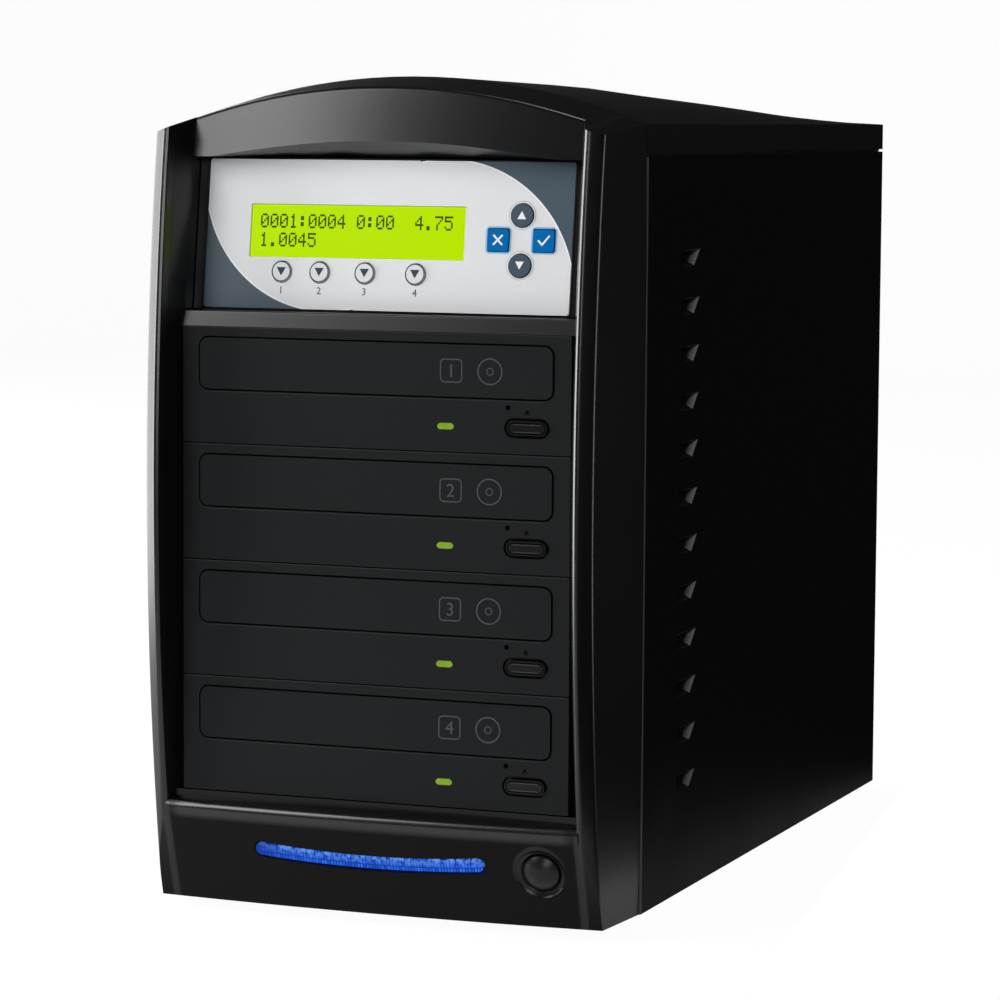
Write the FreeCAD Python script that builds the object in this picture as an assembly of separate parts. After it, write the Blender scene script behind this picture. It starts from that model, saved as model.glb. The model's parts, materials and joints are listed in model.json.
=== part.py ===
"""Desktop disc duplicator: a tower with a display panel above a stack of tray-loading drives.

Millimetres. The pieces are modelled with the drive faces in the plane Y = 0, the rear at +Y and
the underside of the case at Z = 0. Each finished piece is then shifted so that the origin lies in
the middle of the footprint, on the surface that the rubber feet stand on.
"""
import FreeCAD, Part
import math
import os

V = FreeCAD.Vector

# Sides of an even outline that stands for a circle on hidden or large round pieces
round_sides = 24
disc_sides = 48
hex_sides = 6

# Flats that stand for one rounded corner, and the shortest flat worth drawing
corner_flats = 4
least_edge = 0.01

# Distance within which faces of joined bezel pieces count as one
weld = 0.001

# Drive stack
drive_count = 4
drive_face_width = 148.1
drive_face_thickness = 5.0
drive_pitch = 41.9
drive_gap = 0.3
drive_body_step = 1.05
drive_body_length = 165.0
drive_body_margin = 0.45
drive_shell = 0.8

# Disc tray and its front
tray_front_margin = 6.85
tray_front_height = 18.3
tray_front_thickness = 4.2
tray_front_drop = 4.0
tray_front_radius = 3.0
tray_front_gap = 0.55
tray_front_proud = 0.3
tray_step = 2.2
tray_length = 146.0
tray_thickness = 6.0
tray_inset = 5.0
disc_diameter = 120.0
slot_reach = 41.0
disc_clearance = 0.8
disc_recess_depth = 1.8
rail_gap = 0.3
rail_thickness = 1.5
rail_hold = 3.0

# Drive face details, measured from the right-hand edge and the top of the face
eject_inset = 16.25
eject_drop = 32.5
eject_width = 15.0
eject_height = 5.0
eject_proud = 0.6
eject_gap = 0.3
eject_travel = 1.0
eject_rim = 1.0
eject_seat = 2.0
eject_flange = 1.0
eject_flange_rim = 0.5
light_inset = 46.85
light_drop = 32.7
light_width = 6.4
light_height = 2.4
light_cut = 0.8
light_gap = 0.1
pinhole_inset = 23.35
pinhole_drop = 25.5
pinhole_radius = 0.9
pinhole_sides = 8

# Spindle deck inside a drive
deck_width = 70.0
deck_length = 100.0
deck_thickness = 2.0
deck_lift = 6.0
turntable_radius = 15.0
turntable_height = 3.0
turntable_sides = 16
deck_post = 7.0

# Front bezel
pillar_width = 14.25
bay_clearance = 0.25
bezel_depth = 36.6
nose_width = 170.0
nose_reach = 7.9
bow_radius = 913.0
bow_height = 147.0
chamfer_slope = 0.745
wall_splay = 0.40
flare_slack = 0.4
ridge_round = 1.8
outer_round = 2.6
bezel_wall = 2.6
bow_share = 1.3

# Chin of the bezel
chin_height = 40.7
chin_join = 38.0
chin_bow = 3.2
chin_foot = 2.0
ledge_slope = 0.3
ledge_height = 39.0
lip_round = 3.0
chin_wall = 2.86

# Panel recess, crossbar and brow
crossbar_height = 5.5
crossbar_setback = 1.5
crossbar_round = 0.8
panel_opening = 54.6
brow_height = 12.4
brow_setback = 4.3
brow_lean = 0.276
brow_arch_rise = 7.8
brow_edge_rise = 6.0
brow_round = 2.2
arch_radius = 243.0
arch_peak = 16.5
arch_climb = 0.1355
soffit_depth = 12.0
soffit_flatness = 0.02

# Control panel, measured in its own tilted plane
panel_tilt = 7.4
panel_setback = 8.0
overlay_margin = 4.25
overlay_height = 53.4
overlay_thickness = 0.8
overlay_radius = 1.0
frame_clearance = 0.25
frame_plate = 3.0
frame_skirt = 2.0
display_left = 17.2
display_right = 40.4
display_height = 18.6
display_z = 1.2
display_gap = 0.2
display_sink = 0.3
display_rim = 4.6
display_rim_height = 0.6
board_thickness = 1.6
board_gap = 4.4
board_margin = 4.0
board_boss = 2.2
board_boss_inset = 2.0
key_gap = 0.3
key_proud = 0.6
key_flange = 0.8
key_flange_rim = 0.8
key_ear_share = 0.7
key_play = 0.2
key_stem = 0.8
key_travel = 0.5
function_key_radius = 3.7
function_key_insets = (30.1, 44.8, 62.2, 81.5)
function_key_z = -13.5
arrow_key_radius = 4.1
arrow_key_inset = 19.0
arrow_key_z = 8.8
arrow_key_shift = -0.9
square_key_side = 7.9
square_key_radius = 1.0
square_key_x = 8.5
switch_side = 5.0

# Chin light and power button
slot_half = 41.6
slot_height = 5.9
slot_sag = 2.0
slot_z = 19.2
light_bar_gap = 0.65
light_bar_sink = 0.7
light_bar_depth = 8.0
light_board_height = 10.0
light_board_margin = 11.0
post_side = 6.0
post_margin = 7.0
power_inset = 9.65
power_z = 19.6
power_radius = 6.75
power_gap = 0.3
power_proud = 1.6
power_travel = 2.0
power_flange = 1.2
power_flange_rim = 1.2
power_stem = 6.0
dish_radius = 9.5
dish_waist = 8.7
dish_drop = 1.1
dish_depth = 1.7
guide_wall = 2.0
guide_depth = 9.0
switch_width = 15.0
switch_depth = 9.0

# Sheet-metal case
case_depth = 307.4
sheet = 1.0
fit = 0.4
slip = 0.2
cover_lip = 10.4
cover_groove = 1.0
crown_front = 16.5
crown_rear = 2.1
crown_stations = 3
crown_facets = 12
joggle_step = 1.4
flange_width = 13.0
floor_flange = 12.0
bulkhead_rim = 0.6
cable_window_width = 110.0
cable_window_height = 34.0
cage_length = 140.0
cage_margin = 1.2
scoop_count = 12
scoop_pitch = 17.45
scoop_first = 40.8
scoop_setback = 39.5
scoop_length = 22.0
scoop_height = 6.2
scoop_depth = 4.0
scoop_share = 0.55
scoop_slant = 7.0
scoop_taper = 0.2

# Feet and screws
foot_height = 4.0
foot_radius = 9.0
foot_side = 26.3
foot_inset = 28.0
screw_head_radius = 3.2
screw_head_height = 1.8

# Power supply at the top of the rear
supply_margin = 13.3
supply_height = 86.0
supply_length = 140.0
supply_drop = 12.3
supply_window_margin = 5.0
supply_fan_inset = 46.0
inlet_inset = 30.0
inlet_drop = 14.0
inlet_width = 27.0
inlet_height = 19.0
inlet_flange = 2.5
inlet_flange_depth = 1.0
inlet_wall = 1.6
inlet_corner = 4.0
inlet_depth = 17.0
inlet_recess = 5.0
inlet_pin_width = 4.0
inlet_pin_thickness = 2.0
inlet_pin_spread = 7.0
inlet_pin_rise = 2.0
rocker_rise = 20.0
rocker_width = 12.6
rocker_height = 18.4
rocker_gap = 0.4
rocker_swing_room = 1.3
rocker_tilt = 12.0
rocker_axis_depth = 3.4
rocker_axle_radius = 1.2
rocker_axle_gap = 0.05
rocker_wall = 1.5
rocker_depth = 9.0
rocker_back_share = 0.7

# Exhaust fan and both fan rotors
fan_side = 80.0
fan_depth = 25.0
fan_z = 118.0
fan_ring_radius = 38.0
fan_hub_radius = 16.0
fan_hub_depth = 17.0
fan_hub_wall = 1.5
fan_tip_gap = 1.0
fan_blades = 7
fan_blade_thickness = 1.3
fan_blade_pitch = 48.0
fan_blade_chord = 16.0
fan_shaft_radius = 2.5
fan_shaft_gap = 0.05
fan_plate_thickness = 2.5
fan_strut_width = 5.0
fan_hub_play = 1.0
grille_slot = 5.0
grille_rib = 3.0
grille_spoke = 4.0
grille_hub = 8.0

# Controller board on the floor
controller_width = 118.0
controller_gap = 20.0
controller_rear_gap = 26.4
standoff_radius = 2.8
standoff_height = 8.0
standoff_inset = 6.0
chip_height = 3.0
socket_height = 9.0

# Places that follow from the sizes above
case_width = drive_face_width + 2 * pillar_width
half = case_width / 2
bay_half = drive_face_width / 2 + bay_clearance
drive_body_width = drive_face_width - 2 * drive_body_step
tray_front_width = drive_face_width - 2 * tray_front_margin
tray_width = tray_front_width - 2 * tray_step
eject_x = drive_face_width / 2 - eject_inset
light_x = drive_face_width / 2 - light_inset
pinhole_x = drive_face_width / 2 - pinhole_inset
overlay_width = drive_face_width - 2 * overlay_margin
display_width = overlay_width - display_left - display_right
display_x = (display_left - display_right) / 2
arrow_key_x = overlay_width / 2 - arrow_key_inset
function_key_x = [inset - overlay_width / 2 for inset in function_key_insets]
power_x = drive_face_width / 2 - power_inset
foot_x = half - foot_side
supply_width = case_width - 2 * supply_margin
supply_fan_x = supply_fan_inset - supply_width / 2
inlet_x = supply_width / 2 - inlet_inset
stack_bottom = chin_height
stack_top = stack_bottom + drive_count * drive_pitch
panel_bottom = stack_top + crossbar_height
panel_top = panel_bottom + panel_opening
case_height = panel_top + brow_height
seam = bezel_depth
rear = seam + case_depth
face_height = drive_pitch - drive_gap
arch_slant = math.atan(arch_climb)
far = 3 * (case_width + case_height)


def box(x0, x1, y0, y1, z0, z1):
    return Part.makeBox(x1 - x0, y1 - y0, z1 - z0, V(x0, y0, z0))


def outline(points):
    return Part.makePolygon(points + [points[0]])


def slab_xy(points, z0, z1):
    face = Part.Face(outline([V(x, y, z0) for x, y in points]))
    return face.extrude(V(0, 0, z1 - z0))


def slab_yz(points, x0, x1):
    face = Part.Face(outline([V(x0, y, z) for y, z in points]))
    return face.extrude(V(x1 - x0, 0, 0))


def slab_xz(points, y0, y1):
    face = Part.Face(outline([V(x, y0, z) for x, z in points]))
    return face.extrude(V(0, y1 - y0, 0))


def rounded_wire(corners, place):
    """A closed outline through corners given as x, y and radius, each round drawn with short flats."""
    points = []
    count = len(corners)
    for index in range(count):
        x, y, radius = corners[index]
        corner = V(x, y, 0)
        if radius == 0:
            points.append(corner)
            continue
        before = (V(*corners[index - 1][:2], 0) - corner).normalize()
        after = (V(*corners[(index + 1) % count][:2], 0) - corner).normalize()
        half_angle = before.getAngle(after) / 2
        reach = radius / math.tan(half_angle)
        centre = corner + (before + after).normalize() * (radius / math.sin(half_angle))
        spoke = corner + before * reach - centre
        last = corner + after * reach - centre
        turn = math.degrees(spoke.getAngle(last))
        axis = spoke.cross(last)
        for step in range(corner_flats + 1):
            swing = FreeCAD.Rotation(axis, turn * step / corner_flats)
            points.append(centre + swing.multVec(spoke))
    kept = []
    for index, point in enumerate(points):
        if point.distanceToPoint(points[index - 1]) > least_edge:
            kept.append(place(point))
    return outline(kept)


def rounded_slab(x, z, width, height, radius, y0, y1):
    """A plate facing the front with rounded corners, centred on x and z."""
    corner = min(radius, width / 2, height / 2)
    w = width / 2
    h = height / 2
    corners = [(x - w, z - h, corner), (x + w, z - h, corner), (x + w, z + h, corner), (x - w, z + h, corner)]
    wire = rounded_wire(corners, lambda p: V(p.x, y0, p.y))
    return Part.Face(wire).extrude(V(0, y1 - y0, 0))


def regular(sides, radius):
    """Corner points of an even outline about the origin."""
    turn = 2 * math.pi / sides
    return [(radius * math.cos(turn * index), radius * math.sin(turn * index)) for index in range(sides)]


def rod_y(x, z, radius, y0, y1):
    return Part.makeCylinder(radius, y1 - y0, V(x, y0, z), V(0, 1, 0))


def turned_y(points):
    """A solid of revolution about the Y axis from points given as radius and y."""
    face = Part.Face(outline([V(r, y, 0) for r, y in points]))
    return face.revolve(V(0, 0, 0), V(0, 1, 0), 360)


def join(first, *others):
    return first.fuse(list(others)).removeSplitter()


def mirrored(shape):
    return shape.mirror(V(0, 0, 0), V(1, 0, 0))


def moved(shape, x, z):
    placed = shape.copy()
    placed.translate(V(x, 0, z))
    return placed


def tilted(shape, degrees, y, z):
    """Turn a shape about the X axis, then set its own origin at y and z."""
    placed = shape.copy()
    placed.rotate(V(0, 0, 0), V(1, 0, 0), degrees)
    placed.translate(V(0, y, z))
    return placed


def blend(a, b, share):
    return a + (b - a) * share


# Front bezel

def side_x(y):
    """Half width of the flared bezel side at a depth y, where the bezel stands furthest forward."""
    return blend(nose_width / 2, half + flare_slack, (y + nose_reach) / (seam + nose_reach))


def ridge_corner():
    """The inner ridge of a pillar, where its front face would meet its splayed inner wall."""
    rise = nose_reach + chamfer_slope * nose_width / 2
    x = (bay_half + wall_splay * rise) / (1 + wall_splay * chamfer_slope)
    return x, chamfer_slope * x - rise


def ridge_y(z):
    """Depth of the inner ridge at a height z, on its long bow."""
    reach = bow_radius - nose_reach - ridge_corner()[1]
    return bow_radius - nose_reach - math.sqrt(reach ** 2 - (z - bow_height) ** 2)


def under_arch(lower=0.0):
    """All that lies below the arched top, which climbs towards the rear."""
    centre = V(0, seam, case_height + arch_peak - lower - arch_radius / math.cos(arch_slant))
    run = V(0, math.cos(arch_slant), math.sin(arch_slant))
    return Part.makeCylinder(arch_radius, 2 * far, centre - run * far, run)


def pillar():
    """Right-hand pillar: one rounded plan section swung along the bow of the front."""
    ridge_x, ridge_front = ridge_corner()
    back = 2 * seam
    section = [
        (bay_half, back, 0),
        (bay_half, 0, 0),
        (ridge_x, ridge_front, ridge_round),
        (nose_width / 2, -nose_reach, outer_round),
        (side_x(back), back, 0),
    ]
    face = Part.Face(rounded_wire(section, lambda p: V(p.x, p.y, bow_height)))
    hub = V(0, bow_radius - nose_reach, bow_height)
    sweep = math.degrees(math.asin(bow_share * case_height / bow_radius))
    face.rotate(hub, V(1, 0, 0), -sweep)
    body = face.revolve(hub, V(1, 0, 0), 2 * sweep)
    body = body.common(box(0, half, -far, seam, 0, case_height + 2 * arch_peak))
    return body.common(under_arch()).cut(chin_air())


def chin_middle(z):
    """Depth of the chin face at a height z on the middle line."""
    return blend(chin_foot, ridge_y(chin_join) - chin_bow, z / chin_join)


def chin_hub():
    """Depth of the upright axis that the bowed chin is swung about."""
    ridge_x = ridge_corner()[0]
    return ridge_y(chin_join) - chin_bow + (ridge_x ** 2 + chin_bow ** 2) / (2 * chin_bow)


def chin_y(x, z):
    """Depth of the chin face at x and z."""
    return chin_hub() - math.sqrt((chin_hub() - chin_middle(z)) ** 2 - x ** 2)


def swung(corners):
    """A solid from a side profile of y, z and radius, swung about the chin's upright axis."""
    face = Part.Face(rounded_wire(corners, lambda p: V(0, p.x, p.y)))
    hub = V(0, chin_hub(), 0)
    sweep = math.degrees(math.asin(case_width / chin_hub()))
    face.rotate(hub, V(0, 0, 1), -sweep)
    return face.revolve(hub, V(0, 0, 1), 2 * sweep)


def chin_air():
    """The space in front of the chin face, which trims the feet of the pillars."""
    low = -pillar_width
    front = chin_middle(chin_join) - case_width
    return swung([(chin_middle(low), low, 0), (chin_middle(chin_join), chin_join, 0), (front, chin_join, 0),
                  (front, low, 0)])


def lip_corner(lower=0.0, inset=0.0):
    """Where the chin face meets the ledge, or where surfaces behind and below them meet."""
    lean = (chin_middle(chin_join) - chin_middle(0)) / chin_join
    height = (ledge_height - lower + ledge_slope * (chin_foot + inset)) / (1 - ledge_slope * lean)
    return chin_middle(height) + inset, height


def chin():
    """The bowed chin between the pillars, with its sloping ledge and rounded lip."""
    reach = ridge_corner()[0]
    sill = chin_height - bay_clearance
    deep = chin_foot + 2 * chin_bow
    lip_y, lip_z = lip_corner()
    top = ledge_height + ledge_slope * deep
    nose = swung([(chin_foot, 0, 0), (lip_y, lip_z, lip_round), (deep, top, 0), (deep, 0, 0)])
    nose = nose.common(box(-reach, reach, -far, far, 0, sill))
    behind = box(-reach, reach, deep - bezel_wall, seam, 0, ledge_height)
    strip = box(-reach, reach, 0, seam, ledge_height - bezel_wall, sill)
    return join(nose, behind, strip)


def brow():
    """The arched brow over the panel, with a rounded crest and a sloping soffit."""
    low = panel_top - brow_height
    edge_height = panel_top + brow_edge_rise
    reach = bay_half + pillar_width / 3
    back = 2 * seam
    roof = case_height + arch_peak

    def face_y(z):
        return brow_setback + brow_lean * (z - edge_height)

    crest_z = (roof + arch_climb * (face_y(0) - seam)) / (1 - arch_climb * brow_lean)
    profile = [
        (face_y(low), low, 0),
        (face_y(crest_z), crest_z, brow_round),
        (back, roof + arch_climb * (back - seam), 0),
        (back, low, 0),
    ]
    face = Part.Face(rounded_wire(profile, lambda p: V(0, p.x, p.y)))
    hub = V(0, seam, roof - arch_radius / math.cos(arch_slant))
    run = V(0, math.cos(arch_slant), math.sin(arch_slant))
    sweep = math.degrees(math.asin(half / arch_radius))
    face.rotate(hub, run, -sweep)
    body = face.revolve(hub, run, 2 * sweep)
    body = body.common(box(-reach, reach, -far, seam, 0, 2 * roof))
    wide = case_width
    drop = brow_arch_rise * (wide / bay_half) ** 2

    def arch_wire(y, middle, fall):
        left = V(-wide, y, middle - fall)
        right = V(wide, y, middle - fall)
        base = low - far
        sides = [
            Part.Arc(left, V(0, y, middle), right).toShape(),
            Part.makeLine(right, V(wide, y, base)),
            Part.makeLine(V(wide, y, base), V(-wide, y, base)),
            Part.makeLine(V(-wide, y, base), left),
        ]
        return Part.Wire(sides)

    front_arch = arch_wire(brow_setback, edge_height, drop)
    ahead = Part.Face(front_arch).extrude(V(0, -far, 0))
    rear_arch = arch_wire(brow_setback + soffit_depth, panel_top, drop * soffit_flatness)
    soffit = Part.makeLoft([front_arch, rear_arch], True, True)
    opening = box(-bay_half - pillar_width, bay_half + pillar_width, -far, far, low - far, panel_top)
    return body.cut(ahead).cut(soffit).cut(opening)


def crossbar():
    """The bar between the panel and the topmost drive, leaning back under a rounded upper edge."""
    reach = bay_half + pillar_width / 3
    foot = stack_top + bay_clearance - drive_gap
    profile = [(0, foot, 0), (crossbar_setback, panel_bottom, crossbar_round), (seam, panel_bottom, 0),
               (seam, foot, 0)]
    face = Part.Face(rounded_wire(profile, lambda p: V(-reach, p.x, p.y)))
    return face.extrude(V(2 * reach, 0, 0))


def bezel_pockets():
    """Hollows behind the pillars, the chin and the brow, open to the rear."""
    back = seam + bezel_wall
    front = panel_setback
    inner = bay_half + bezel_wall
    slant = flare_slack + bezel_wall
    plan = [(inner, front), (side_x(front) - slant, front), (side_x(back) - slant, back), (inner, back)]
    side = slab_xy(plan, chin_height, panel_top)
    reach = ridge_corner()[0] - bezel_wall
    roof_y, roof_z = lip_corner(2 * bezel_wall, chin_wall)
    deep = chin_foot + 2 * chin_bow
    roof = ledge_height - 2 * bezel_wall
    slope_end = roof + ledge_slope * deep
    foot_y = chin_middle(bezel_wall) + chin_wall
    nose = swung([(foot_y, bezel_wall, 0), (roof_y, roof_z, 0), (deep, slope_end, 0), (deep, bezel_wall, 0)])
    nose = nose.common(box(-reach, reach, -far, far, 0, roof))
    behind = box(-reach, reach, deep - bezel_wall, back, bezel_wall, roof)
    start = brow_setback + soffit_depth
    attic = box(-bay_half, bay_half, start, back, panel_top + bezel_wall, far).common(under_arch(bezel_wall))
    return [side, mirrored(side), nose, behind, attic]


def chin_lean():
    """Angle by which the chin face overhangs, at the height of its light."""
    return math.degrees(math.atan2(chin_y(0, 0) - chin_y(0, chin_join), chin_join))


def on_chin(shape):
    """Place a shape, made facing -Y about the origin, on the middle of the chin face."""
    return tilted(shape, chin_lean(), chin_y(0, slot_z), slot_z)


def smile(half_height, y0, y1):
    """A curved slot shape with round ends, lowest in the middle."""
    radius = slot_half ** 2 / (2 * slot_sag)
    turn = slot_half / radius

    def at(r, angle):
        return V(r * math.sin(angle), y0, radius - r * math.cos(angle))

    far_r = radius + half_height
    near_r = radius - half_height
    tip = turn + half_height / radius
    sides = [
        Part.Arc(at(far_r, -turn), at(far_r, 0), at(far_r, turn)).toShape(),
        Part.Arc(at(far_r, turn), at(radius, tip), at(near_r, turn)).toShape(),
        Part.Arc(at(near_r, turn), at(near_r, 0), at(near_r, -turn)).toShape(),
        Part.Arc(at(near_r, -turn), at(radius, -tip), at(far_r, -turn)).toShape(),
    ]
    return Part.Face(Part.Wire(sides)).extrude(V(0, y1 - y0, 0))


def power_axis():
    """Inward direction of the power button, square to the chin face where it sits."""
    step = 0.5
    by_x = (chin_y(power_x + step, power_z) - chin_y(power_x - step, power_z)) / (2 * step)
    by_z = (chin_y(power_x, power_z + step) - chin_y(power_x, power_z - step)) / (2 * step)
    axis = V(-by_x, 1, -by_z)
    return axis.normalize()


def on_power_spot(shape):
    """Place a shape, made about the Y axis and facing -Y, square to the chin at the power button."""
    placed = shape.copy()
    turn = FreeCAD.Rotation(V(0, 1, 0), power_axis())
    placed.Placement = FreeCAD.Placement(V(power_x, chin_y(power_x, power_z), power_z), turn)
    return placed


def front_bezel():
    right = pillar()
    shell = right.fuse([mirrored(right), chin(), brow(), crossbar()], weld).removeSplitter()
    for pocket in bezel_pockets():
        shell = shell.cut(pocket)
    bore = power_radius + power_gap
    room = bore + power_flange_rim
    outer = room + guide_wall
    guide = on_power_spot(box(-outer, outer, bezel_wall / 2, guide_depth, -outer, outer))
    post_x = slot_half + post_margin
    post = box(post_x - post_side / 2, post_x + post_side / 2, bezel_wall / 2, light_bar_depth,
               slot_sag - post_side / 2, slot_sag + post_side / 2)
    shell = join(shell, guide, on_chin(post), on_chin(mirrored(post)))
    dish = turned_y([(0, -dish_depth), (dish_radius, -dish_depth), (dish_radius, 0), (dish_waist, dish_drop),
                     (bore, dish_depth), (bore, bezel_wall + power_gap), (0, bezel_wall + power_gap)])
    seat = box(-room, room, bezel_wall, 2 * guide_depth, -room, room)
    slot = smile(slot_height / 2, -bezel_wall, light_bar_depth)
    return shell.cut([on_power_spot(dish), on_power_spot(seat), on_chin(slot)])


# Chin light and power button

def light_bar():
    return on_chin(smile(slot_height / 2 - light_bar_gap, light_bar_sink, light_bar_depth))


def light_board():
    reach = slot_half + light_board_margin
    z0 = slot_sag / 2 - light_board_height / 2
    board_back = light_bar_depth + board_thickness
    board = box(-reach, reach, light_bar_depth, board_back, z0, z0 + light_board_height)
    return on_chin(board)


def power_button():
    """A round cap on a square flange, with a stem towards the switch behind it."""
    start = bezel_wall + key_play
    end = start + power_flange
    cap = rod_y(0, 0, power_radius, -power_proud, start)
    flange = square_column(0, 0, power_radius + power_flange_rim, start, end)
    stem = square_column(0, 0, power_stem / 2, end, guide_depth - power_travel - power_gap)
    return on_power_spot(join(cap, flange, stem))


def power_switch():
    side = switch_width / 2
    return on_power_spot(box(-side, side, guide_depth, guide_depth + switch_depth, -side, side))


# Control panel

def on_panel(shape):
    """Place a shape from the panel's own plane: its face at y = 0, its middle at the origin."""
    rise = panel_opening / 2
    return tilted(shape, -panel_tilt, panel_setback + rise * math.tan(math.radians(panel_tilt)),
                  panel_bottom + rise)


def key_places():
    """Every key of the panel: its name, its half width, its corner radius and the place of its middle."""
    places = []
    for number, x in enumerate(function_key_x, start=1):
        name = "function_key_%d" % number
        places.append((name, function_key_radius, function_key_radius, x, function_key_z))
    up = arrow_key_shift + arrow_key_z
    down = arrow_key_shift - arrow_key_z
    places.append(("up_key", arrow_key_radius, arrow_key_radius, arrow_key_x, up))
    places.append(("down_key", arrow_key_radius, arrow_key_radius, arrow_key_x, down))
    side = square_key_side / 2
    places.append(("escape_key", side, square_key_radius, arrow_key_x - square_key_x, arrow_key_shift))
    places.append(("enter_key", side, square_key_radius, arrow_key_x + square_key_x, arrow_key_shift))
    return places


def key_column(x, z, side, radius, y0, y1):
    """A round or square key outline that reaches from y0 to y1."""
    if radius == side:
        return moved(slab_xz(regular(round_sides, radius), y0, y1), x, z)
    return rounded_slab(x, z, 2 * side, 2 * side, radius, y0, y1)


def square_column(x, z, side, y0, y1):
    return box(x - side, x + side, y0, y1, z - side, z + side)


plate_back = overlay_thickness + frame_plate
board_front = plate_back + board_gap


def display_window(y0, y1):
    x = display_width / 2 + display_gap
    z = display_height / 2 + display_gap
    return box(display_x - x, display_x + x, y0, y1, display_z - z, display_z + z)


def panel_frame():
    """A tub that fills the bezel opening: a tilted plate in front and a skirt back to the bulkhead."""
    side = bay_half - frame_clearance
    low = panel_bottom + frame_clearance
    high = panel_top - frame_clearance
    lean = math.tan(math.radians(panel_tilt))
    skin = overlay_thickness / math.cos(math.radians(panel_tilt))
    plate = frame_plate / math.cos(math.radians(panel_tilt))

    def face_y(z):
        return panel_setback + skin + lean * (z - panel_bottom)

    body = slab_yz([(face_y(low), low), (face_y(high), high), (seam, high), (seam, low)], -side, side)
    floor_z = low + frame_skirt
    roof_z = high - frame_skirt
    tub = [(face_y(floor_z) + plate, floor_z), (face_y(roof_z) + plate, roof_z),
           (2 * seam, roof_z), (2 * seam, floor_z)]
    body = body.cut(slab_yz(tub, frame_skirt - side, side - frame_skirt))
    boss_x = overlay_width / 2 - board_margin - board_boss - board_boss_inset
    boss_z = overlay_height / 2 - board_margin - board_boss
    boss_start = plate_back - frame_plate / 2
    bosses = [on_panel(square_column(sx * boss_x, sz * boss_z, board_boss, boss_start, board_front))
              for sx in (-1, 1) for sz in (-1, 1)]
    body = join(body, *bosses)
    start = -overlay_thickness
    end = plate_back + frame_plate / 4
    holes = [square_column(x, z, side + key_gap, start, end) for _, side, _, x, z in key_places()]
    holes.append(display_window(start, end))
    return body.cut([on_panel(hole) for hole in holes])


def panel_overlay():
    """The printed film on the panel, with round and square holes for the keys."""
    plate = rounded_slab(0, 0, overlay_width, overlay_height, overlay_radius, 0, overlay_thickness)
    start = -overlay_thickness
    end = 2 * overlay_thickness
    holes = []
    for _, side, radius, x, z in key_places():
        room = side + key_gap
        round_key = radius == side
        round_hole = key_column(x, z, room, room, start, end)
        square_hole = square_column(x, z, room, start, end)
        holes.append(round_hole if round_key else square_hole)
    return on_panel(plate.cut(holes + [display_window(start, end)]))


def display_module():
    glass = box(display_x - display_width / 2, display_x + display_width / 2, display_sink, plate_back,
                display_z - display_height / 2, display_z + display_height / 2)
    reach = display_width / 2 + display_rim
    rise = display_height / 2 + display_rim_height
    low = display_z - rise
    body = box(display_x - reach, display_x + reach, plate_back, board_front, low, display_z + rise)
    return on_panel(join(glass, body))


def panel_board():
    """The board behind the panel, with one small switch under each key."""
    x = overlay_width / 2 - board_margin
    z = overlay_height / 2 - board_margin
    board = box(-x, x, board_front, board_front + board_thickness, -z, z)
    plunger = plate_back + key_play + key_flange + key_stem + key_travel + key_play
    switches = [square_column(key_x, key_z, switch_side / 2, plunger, board_front)
                for _, _, _, key_x, key_z in key_places()]
    return on_panel(join(board, *switches))


def panel_key(side, radius, x, z):
    """A key cap with ears behind the panel plate and a stem towards its switch."""
    seat = plate_back + key_play
    back = seat + key_flange
    cap = key_column(x, z, side, radius, -key_proud, seat)
    reach = side + key_flange_rim
    ears = box(x - reach, x + reach, seat, back, z - side * key_ear_share, z + side * key_ear_share)
    stem = square_column(x, z, switch_side / 3, back, back + key_stem)
    return on_panel(join(cap, ears, stem))


# Drives

def face_bottom(number):
    """Lower edge of one drive face, the first drive being the topmost."""
    return stack_top - number * drive_pitch + drive_gap / 2


def face_top(number):
    return face_bottom(number) + face_height


def tray_levels(number):
    """Lower and upper height of the tray plate, level with the middle of its front."""
    middle = face_top(number) - tray_front_drop - tray_front_height / 2
    return middle - tray_thickness / 2, middle + tray_thickness / 2


def light_column(gap, y0, y1):
    """The light's outline, with cut corners, as a column along Y narrowed by a gap."""
    wide = light_width / 2 - gap
    tall = light_height / 2 - gap
    points = [(sx * wide, sz * (tall - light_cut)) for sx, sz in ((1, -1), (1, 1), (-1, 1), (-1, -1))]
    cuts = [(sx * (wide - light_cut), sz * tall) for sx, sz in ((1, 1), (-1, 1), (-1, -1), (1, -1))]
    ring = [points[0], points[1], cuts[0], cuts[1], points[2], points[3], cuts[2], cuts[3]]
    return slab_xz(ring, y0, y1)


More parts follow.
